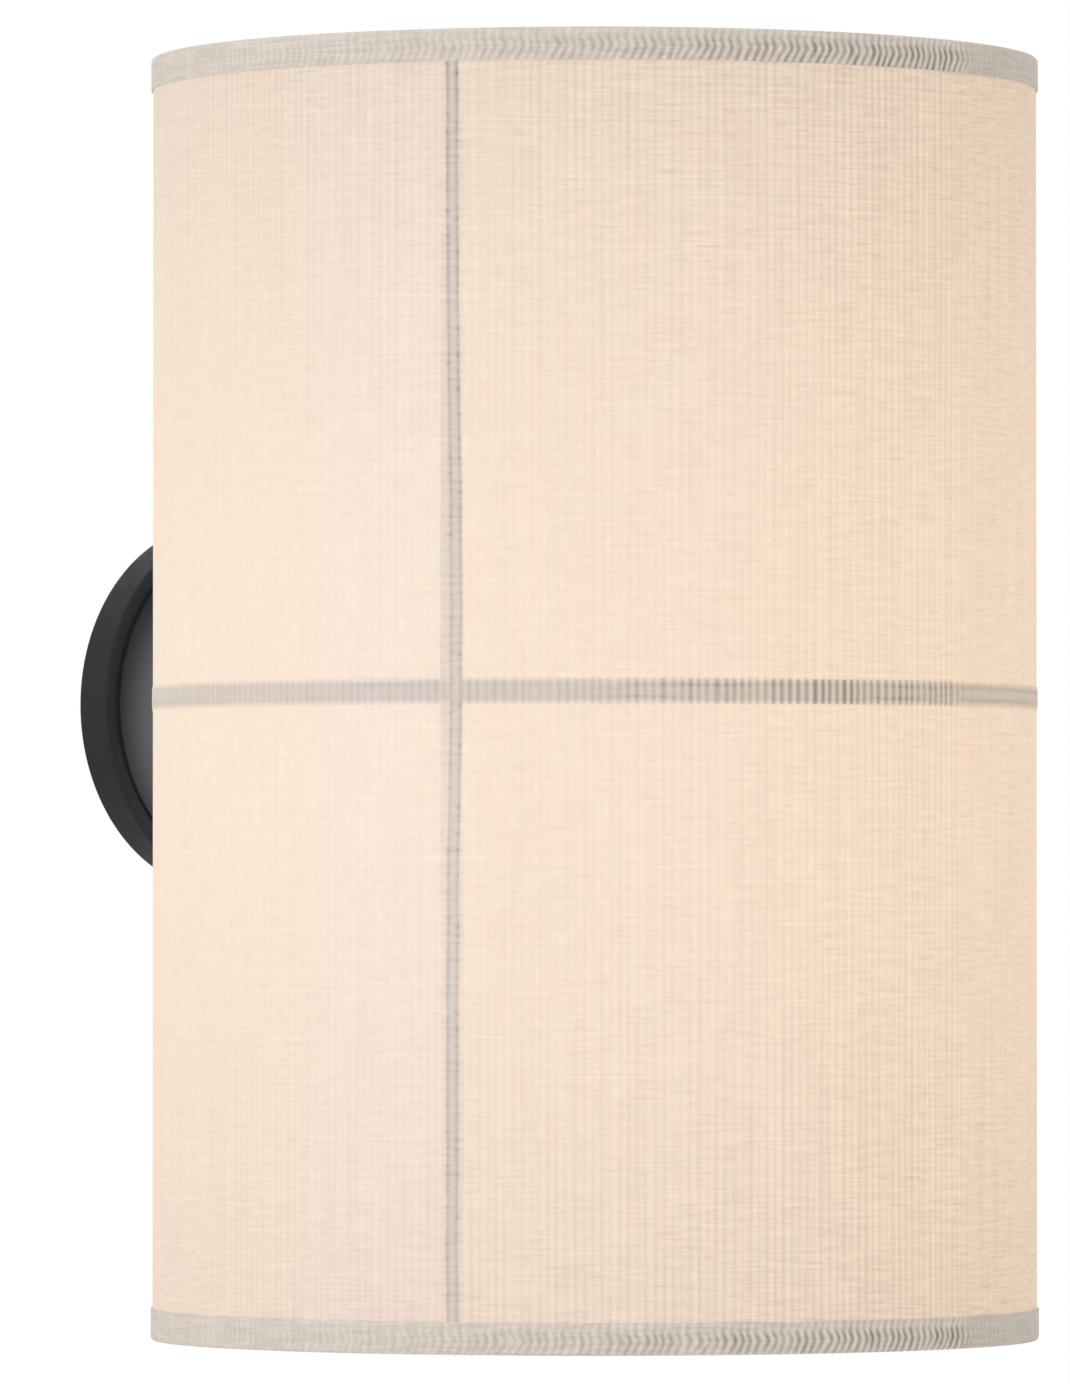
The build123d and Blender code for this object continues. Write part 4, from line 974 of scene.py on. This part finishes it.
FINISHES["filament"], tree, shader, grained, soft = glowing(
    "filament rod", 0.8, (0.90, 0.62, 0.22), (0.95, 0.70, 0.30), (0.45, 0.55))
glow = mixed(tree, soft, shade_of(3.0, 1.9, 0.8), shade_of(3.6, 2.4, 1.1))
feed(tree, shader.inputs["Emission Color"], glow)
print("finishes in all:", len(FINISHES))

# %% [markdown]
# The pieces that keep their measured shape take their finish by the slot that the frame names for
# each. They could be given one by one, but a piece that was forgotten would stay plain grey. The
# wall plate takes its own paint instead of its slot's, because its paint differs from the other
# black parts.

# %% Give the carried-over parts their finishes
for part in frame["record"]["subparts"]:
    node = frame["nodes"][part["node"]]
    finish_slot = "plate_black" if part["node"] == "canopy" else part["material_slot"]
    for slot in node.material_slots:
        slot.material = FINISHES[finish_slot]

# %% [markdown]
# ## Threads, ribs and knurls
#
# A thread is a ridge that climbs round a part, so its radius depends on the angle and the height
# together. It could be swept along a spiral and joined to the part, but such joins leave bad faces.
# Each of these functions gives a ripple for a turned part instead: a right-handed thread, plain
# ribs along the part, and a knurl, whose two sets of grooves cross to leave small diamonds. All
# three fade out at their ends, as a tool runs out of its cut.

# %% Ripples for turned parts
def between(value, low, high, fade):
    """1 between two values and 0 beyond them, with soft ends."""
    return np.clip(np.minimum(value - low, high - value) / fade, 0, 1)


def thread(pitch, depth, low, high, near, far):
    """A right-handed thread: up to depth comes off every radius between near and far."""
    def cut(angle, radius, height):
        away = 0.5 - 0.5 * np.cos(math.tau * height / pitch - angle)
        here = between(height, low, high, pitch) * (radius > near) * (radius < far)
        return radius - depth * away * here
    return cut


def ribs(count, depth, low, high, near):
    """Ribs along the part."""
    def cut(angle, radius, height):
        away = (0.5 - 0.5 * np.cos(count * angle)) ** 2
        return radius - depth * away * between(height, low, high, 0.8) * (radius > near)
    return cut


def knurl(count, pitch, depth, low, high, near):
    """Two sets of grooves that cross."""
    def cut(angle, radius, height):
        one, two = (np.abs(np.sin(0.5 * (count * angle + way * math.tau * height / pitch)))
                    for way in (-1, 1))
        away = (1 - np.minimum(one, two)) * between(height, low, high, 0.4)
        return radius - depth * away * (radius > near)
    return cut


print("ripples:", [ripple.__name__ for ripple in (thread, ribs, knurl)])

# %% [markdown]
# ## The wall plate's ring, nipple and nut
#
# A knurled ring turns on the threaded nipple by hand and draws the plate to the wall. The knurl
# could be a bump, but its diamonds break the ring's outline, so it is real geometry. The hexagon
# nut is turned too: its corners are cut by a cone, which gives a real nut its curved chamfers.

# %% Collar, nipple and nut
NUT_HOLE, NUT_FACE, NUT_FLAT = 4.85, 6.85, 7.0
NUT_CORNER = NUT_FLAT / math.cos(math.radians(30))


def hexagon(angle, radius, height):
    """Flattens a round part to a hexagon wherever it is wider than the flats."""
    turn = np.mod(angle, math.radians(60)) - math.radians(30)
    return np.where(radius > 6, np.minimum(radius, NUT_FLAT / np.cos(turn)), radius)


def from_wall(node):
    """How far a node's back and front are from the wall, in millimetres."""
    return [-end for end in reversed(span(node, "y"))]


PIPE_PITCH = 0.9407
ON_WALL = (0, 0, 0)
back, front = from_wall("canopy_collar")
section = [(4.85, back), (15.2, back), (15.9, back + 0.5), (16.0, back + 0.9), (16.0, front - 2.0),
           (15.5, front - 1.2), (14.4, front - 0.15), (13.9, front), (4.85, front)]
collar = turned("canopy_collar_knurled", stepped(section, 0.22), ON_WALL, OUT, 512,
                [knurl(64, 1.57, 0.45, back + 0.7, front - 1.9, 15.0)], closed=True)
placed(collar, "wall_black", "canopy_collar")

back, front = from_wall("nipple")
section = [(3.2, back), (4.4, back), (4.8, back + 0.4), (4.8, front), (3.2, front)]
nipple = turned("nipple_threaded", stepped(section, 0.12), ON_WALL, OUT, 40,
                [thread(PIPE_PITCH, 0.45, back - 1, front + 1, 4.5, 5)], closed=True)
placed(nipple, "zinc_steel", "nipple")

back, front = from_wall("nipple_nut")
section = [(NUT_HOLE, back), (NUT_FACE, back), (NUT_CORNER, back + 0.7),
           (NUT_CORNER, front - 0.7), (NUT_FACE, front), (NUT_HOLE, front)]
nut = turned("nipple_nut_chamfered", stepped(section, 0.35), ON_WALL, OUT, 96, [hexagon],
             closed=True)
placed(nut, "zinc_steel", "nipple_nut")
print("collar faces:", len(collar.data.polygons), " nipple faces:", len(nipple.data.polygons))

# %% [markdown]
# Two twist-on connectors join the wall's wires to the light's leads. Each is a plastic cone with
# ribs for the fingers and a smooth skirt round its mouth. They are seen only from behind, so plain
# cones would nearly do, but the ribs cost one ripple each.

# %% Wire connectors
low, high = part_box("wire_connectors")
middle_y = (low.y + high.y) / 2
tip = high.z / MM
mouth = tip - 20
cone = [(0, mouth + 8), (0.95, mouth + 8), (0.95, mouth), (4.6, mouth), (5.0, mouth + 0.4),
        (5.0, mouth + 2.6), (4.5, mouth + 3.4), (3.25, tip - 1.6), (2.9, tip - 0.5), (2.2, tip),
        (0, tip)]
connectors = []
for end, side, across in (("upper", 1, -1.4), ("lower", -1, 1.4)):
    line = [(radius, side * height) for radius, height in stepped(cone, 0.5)]
    grip = [ribs(14, 0.45, *sorted((side * (mouth + 3), side * (tip - 1))), 2.5)]
    centre = (across * MM, middle_y, 0)
    connectors.append(turned(f"wire_connector_{end}", line, centre, UP, 112, grip))
for connector in connectors:
    placed(connector, "connector_orange", "wire_connectors")
print("connectors:", [connector.name for connector in connectors])

# %% [markdown]
# ## The stem's stud, the finial and the spider's welds
#
# The finial screws down on the upper stem's fine stud and holds the shade. A plain stud would do
# while the finial covers it, but the finial can be unscrewed, and then the thread shows. The ball
# is an arc of points above the knurled foot, all in one outline, as it is turned from one bar.

# %% Upper stem and finial
AXIS = (0, AXIS_Y, 0)
washer_low, washer_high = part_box("spider_washer")
base, top = span("upper_stem")
shoulder = washer_low.z / MM
foot = [(0, base), (4.4, base), (4.75, base + 0.4), (4.75, base + 10)]
tube = [(5.6, base + 10), (6.0, base + 10.4), (6.0, shoulder - 0.4), (5.6, shoulder)]
stud = [(3.15, shoulder), (3.15, top - 0.5), (2.6, top), (0, top)]
stem = turned("upper_stem_threaded", stepped(foot, 1.0)[:-1] + foot[3:] + tube
              + stepped(stud, 0.12)[1:], AXIS, UP, 40,
              [thread(PIPE_PITCH, 0.40, shoulder + 1.5, top + 1, 2.9, 3.3)])
placed(stem, "wall_black", "upper_stem")

base, top = span("finial")
BALL_R = 7.0
ball = top - BALL_R
arc = [(BALL_R * math.sin(a), ball + BALL_R * math.cos(a))
       for a in np.radians(np.linspace(0, 126, 26))]
foot = [(5.35, ball - 4.6), (5.1, ball - 5.2), (5.1, base + 5.2), (5.6, base + 4.5),
        (7.2, base + 4.0), (7.8, base + 3.7), (8.0, base + 3.3), (8.0, base + 0.8),
        (7.6, base + 0.2), (7.2, base)]
bore = [(3.3, base), (3.3, base + 10), (0, base + 10)]
finial = turned("finial_knurled", stepped(arc + foot, 0.3) + bore, AXIS, UP, 320,
                [knurl(40, 1.25, 0.35, base + 0.7, base + 3.5, 7.5)])
placed(finial, "wall_black", "finial", "finial_knob")
print("finial faces:", len(finial.data.polygons), " stem faces:", len(stem.data.polygons))

# %% [markdown]
# Each spoke of the spider is welded at both ends, and a weld leaves a small bead. A smooth ring
# would look like a washer. The bead is a short turned blob whose edge swells and shrinks as it goes
# round, and one outline serves all six.

# %% Weld beads
def uneven(angle, radius, height):
    """A bead's uneven edge."""
    return radius * (1 + 0.07 * np.sin(3 * angle + 0.7) + 0.05 * np.sin(5 * angle + 2 * height))


washer_r = (washer_high.x - washer_low.x) / 2
wire_z = (washer_low.z + washer_high.z) / 2
ring_low, ring_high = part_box("ring_top")
ring_r = (ring_high.x - ring_low.x) / 2 - RING_WIRE / 2
bead = [(0, -1.4), (1.4, -1.4), (2.5, -0.9), (2.7, -0.2), (2.3, 0.5), (1.8, 1.3), (1.53, 2.2),
        (0, 2.2)]
for side, middle in (("left", -60), ("right", 60), ("back", 180)):
    turn = math.radians(middle)
    away = np.array([math.sin(turn), -math.cos(turn), 0])
    at_washer = np.array(AXIS) + away * (washer_r - 0.2 * MM) + np.array([0, 0, wire_z])
    at_ring = np.array(AXIS) + away * ring_r + np.array([0, 0, ring_low.z + 0.8 * MM])
    for end, spot, facing in (("washer", at_washer, away), ("ring", at_ring, (0, 0, -1))):
        weld = turned(f"weld_{side}_{end}", bead, spot, facing, 24, [uneven])
        placed(weld, "wire_white")
print("weld beads: 6, round a ring of radius", round(ring_r, 4))

# %% [markdown]
# ## Lampholders and bulb caps
#
# A bulb's cap and the shell that it screws into are both rolled from thin sheet, so their threads
# are soft waves, seven turns to the inch. Each could have its thread fitted by eye. Both waves are
# made from the same height and angle instead. That keeps them in step, so a bulb can be screwed
# out without its thread passing through the shell's.

# %% Lampholders, screw shells and caps
CAP_PITCH = 3.629


def rolled_thread(depth, low, high, near, far):
    """The soft thread that a cap and its shell share."""
    return [thread(CAP_PITCH, depth, low, high, near, far)]


for side in ("left", "right"):
    cup_low, cup_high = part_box(f"holder_shell_{side}")
    centre = ((cup_low.x + cup_high.x) / 2, AXIS_Y, 0)
    base, top = span(f"holder_shell_{side}")
    line = [(4.85, base), (16.0, base), (17.0, base + 0.5), (17.5, base + 1.5), (17.5, base + 24.0),
            (17.5, base + 26.5), (17.0, base + 27.0), (17.0, base + 28.0), (17.5, base + 28.5),
            (17.5, top - 1.2), (17.2, top - 0.4), (16.6, top), (16.0, top - 0.1), (15.7, top - 0.6),
            (15.7, base + 1.8), (4.85, base + 1.8)]
    cup = turned(f"lampholder_{side}", stepped(line, 1.0), centre, UP, 288,
                 [ribs(36, 0.5, base + 2.2, base + 25.5, 17.2)], closed=True)
    placed(cup, "holder_black", f"holder_shell_{side}")

    base, top = span("screw_shells")
    line = [(13.6, base), (13.6, top - 1.6), (13.9, top - 0.7), (14.6, top - 0.25),
            (15.1, top - 0.2), (15.1, top), (14.6, top), (14.2, top - 0.3), (14.05, top - 1.2),
            (14.05, base)]
    shell = turned(f"screw_shell_{side}", stepped(line, 0.4), centre, UP, 96,
                   rolled_thread(0.5, base + 0.5, top - 2.5, 13.3, 14.1), closed=True)
    placed(shell, "brass", "screw_shells")

    base, top = span(f"bulb_{side}_cap")
    line = [(0, base), (9.5, base), (10.6, base + 0.25), (11.6, base + 0.9), (12.4, base + 1.6),
            (13.0, base + 2.6), (13.0, top - 1.0), (12.95, top - 0.3), (12.7, top), (12.0, top),
            (11.4, top - 0.4), (11.4, base + 1.0), (0, base + 1.0)]
    cap = turned(f"bulb_{side}_cap_threaded", stepped(line, 0.4), centre, UP, 96,
                 rolled_thread(0.7, base + 1.6, top - 1.6, 12.5, 13.1))
    placed(cap, "bulb_cap", f"bulb_{side}_cap", f"bulb_{side}")
print("lampholder faces:", len(cup.data.polygons), " cap faces:", len(cap.data.polygons))

# %% [markdown]
# ## The bar and its cover
#
# The bar is a casting, so its edges are round, and a stamped cover closes it from below. A box with
# a Bevel modifier would give the round edges too, but both have the outline of a slot. Rings of
# that outline, set in by different amounts, make the rounded edge, and a ring that is set in all
# the way closes to a line.

# %% Bar and cover
def slot_part(name, outline, half_length, radius, steps=48):
    """A part with round ends from a line of (set in, height) points, in millimetres."""
    angle = np.concatenate([np.linspace(-90, 90, steps // 2), np.linspace(90, 270, steps // 2)])
    end = np.where(np.arange(steps) < steps // 2, half_length, -half_length)
    angle = np.radians(angle)
    rows = [np.stack([end + (radius - inset) * np.cos(angle), (radius - inset) * np.sin(angle),
                      np.full(steps, height)], -1) for inset, height in outline]
    return skin(name, np.array(rows) * MM + np.array(AXIS), closed=False, merge=True)


def rounded(radius, height, way, steps):
    """A quarter round edge as (set in, height) points, up (1) to or down (-1) from a face."""
    angles = np.radians(np.linspace(0, 90, steps))
    edge = [(radius * (1 - math.cos(a)), height - way * radius * (1 - math.sin(a))) for a in angles]
    return edge[::way]


low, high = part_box("socket_bar")
radius = (high.y - low.y) / 2 / MM
half_length = (high.x - low.x) / 2 / MM - radius
base, top = span("socket_bar")
line = [(radius, top - 2), (2, top - 2), (2, base), (0.15, base), (0, base + 0.15)]
line += rounded(1.6, top, 1, 7) + [(radius, top)]
bar = placed(slot_part("lampholder_bar", line, half_length, radius), "wall_black", "socket_bar")

base, top = span("bar_cover")
line = [(radius, base)] + rounded(0.7, base, -1, 5) + [(0, top - 0.25), (0.3, top), (radius, top)]
cover = placed(slot_part("bar_cover_plate", line, half_length, radius), "wall_black", "bar_cover")
print("bar faces:", len(bar.data.polygons), " cover faces:", len(cover.data.polygons))

# %% [markdown]
# ## Floor, light and camera
#
# The light hangs free over a pale floor, as in a studio picture. A plain white background could be
# had with more lamps, but those would bleach the cloth. The floor is a pale surface that adds its
# own brightness only where the camera looks at it, and it is clear from below, so that the inside
# of the shade can be seen from there too.

# %% Floor
FLOOR_Z, REACH = -0.62, 2.2
corners = [(x * REACH, y * REACH, FLOOR_Z) for x, y in ((-1, -1), (1, -1), (1, 1), (-1, 1))]
floor_mesh = bpy.data.meshes.new("floor")
floor_mesh.from_pydata(corners, [], [(0, 1, 2, 3)])
floor = bpy.data.objects.new("floor", floor_mesh)
bpy.context.scene.collection.objects.link(floor)
pale, tree, shader = finish("pale floor", Roughness=0.9, Emission_Color=WHITE)
dusty = noise(tree, add(tree, "TexCoord").outputs["Object"], 3.0)
dusty = mixed(tree, dusty, shade_of(0.86, 0.86, 0.86), shade_of(0.90, 0.90, 0.90))
feed(tree, shader.inputs["Base Color"], dusty)
seen = add(tree, "LightPath").outputs["Is Camera Ray"]
feed(tree, shader.inputs["Emission Strength"], calc(tree, "MULTIPLY", seen, 0.24))
clear = add(tree, "BsdfTransparent").outputs["BSDF"]
below = add(tree, "NewGeometry").outputs["Backfacing"]
surface = add(tree, "MixShader", {0: below, 1: shader.outputs["BSDF"], 2: clear})
feed(tree, tree.nodes["Material Output"].inputs["Surface"], surface.outputs["Shader"])
floor_mesh.materials.append(pale)
print("floor at", FLOOR_Z, "m")

# %% [markdown]
# The world lights everything evenly, and one large soft box from the left gives the cloth and the
# plate their shape. Several hard lamps would draw shadows that the photograph doesn't have. The
# camera and reflections see a white world of strength 1, while its light on the object is less.

# %% Light
WORLD_LIGHT = 0.77
world = bpy.data.worlds.new("studio")
bpy.context.scene.world = world
world.use_nodes = True
tree = world.node_tree
background = tree.nodes["Background"].inputs
rays = add(tree, "LightPath").outputs
seen = calc(tree, "MAXIMUM", rays["Is Glossy Ray"], rays["Is Transmission Ray"])
seen = calc(tree, "MAXIMUM", rays["Is Camera Ray"], seen)
strength = calc(tree, "MULTIPLY_ADD", seen, 1.0 - WORLD_LIGHT, WORLD_LIGHT)
feed(tree, background["Strength"], strength)
background["Color"].default_value = WHITE

place = (-2.6, -0.6, 0.9)
direction = np.array(AXIS) - place
lamp = bpy.data.lights.new("key", "AREA")
lamp.shape, lamp.size, lamp.energy = "SQUARE", 1.6, 7
soft_box = bpy.data.objects.new("key", lamp)
soft_box.location = place
soft_box.rotation_euler = (math.atan2(math.hypot(*direction[:2]), -direction[2]), 0,
                           math.atan2(direction[1], direction[0]) - math.pi / 2)
bpy.context.scene.collection.objects.link(soft_box)
print("soft box", round(float(np.linalg.norm(direction)), 2), "m from the shade's axis")

# %% [markdown]
# The photograph was taken from the right distance to see both rims as thin ellipses, 42 degrees
# round from the front. A wide lens close by would bend them more, so the lens is long and the
# camera far. Its place was found by fitting both rims, the seams and the plate together.

# %% Camera
camera = bpy.data.cameras.new("camera")
camera.lens = 297.5
camera.sensor_fit, camera.sensor_height, camera.sensor_width = "VERTICAL", 36, 36
eye = bpy.data.objects.new("camera", camera)
eye.location = (-2.445, -2.840, -0.0696)
eye.rotation_euler = (math.radians(91.14), 0, math.radians(-42.3))
bpy.context.scene.collection.objects.link(eye)
bpy.context.scene.camera = eye
bpy.context.scene.view_settings.view_transform = "Standard"
print("camera", round(math.dist(eye.location, AXIS), 2), "m from the shade's axis")
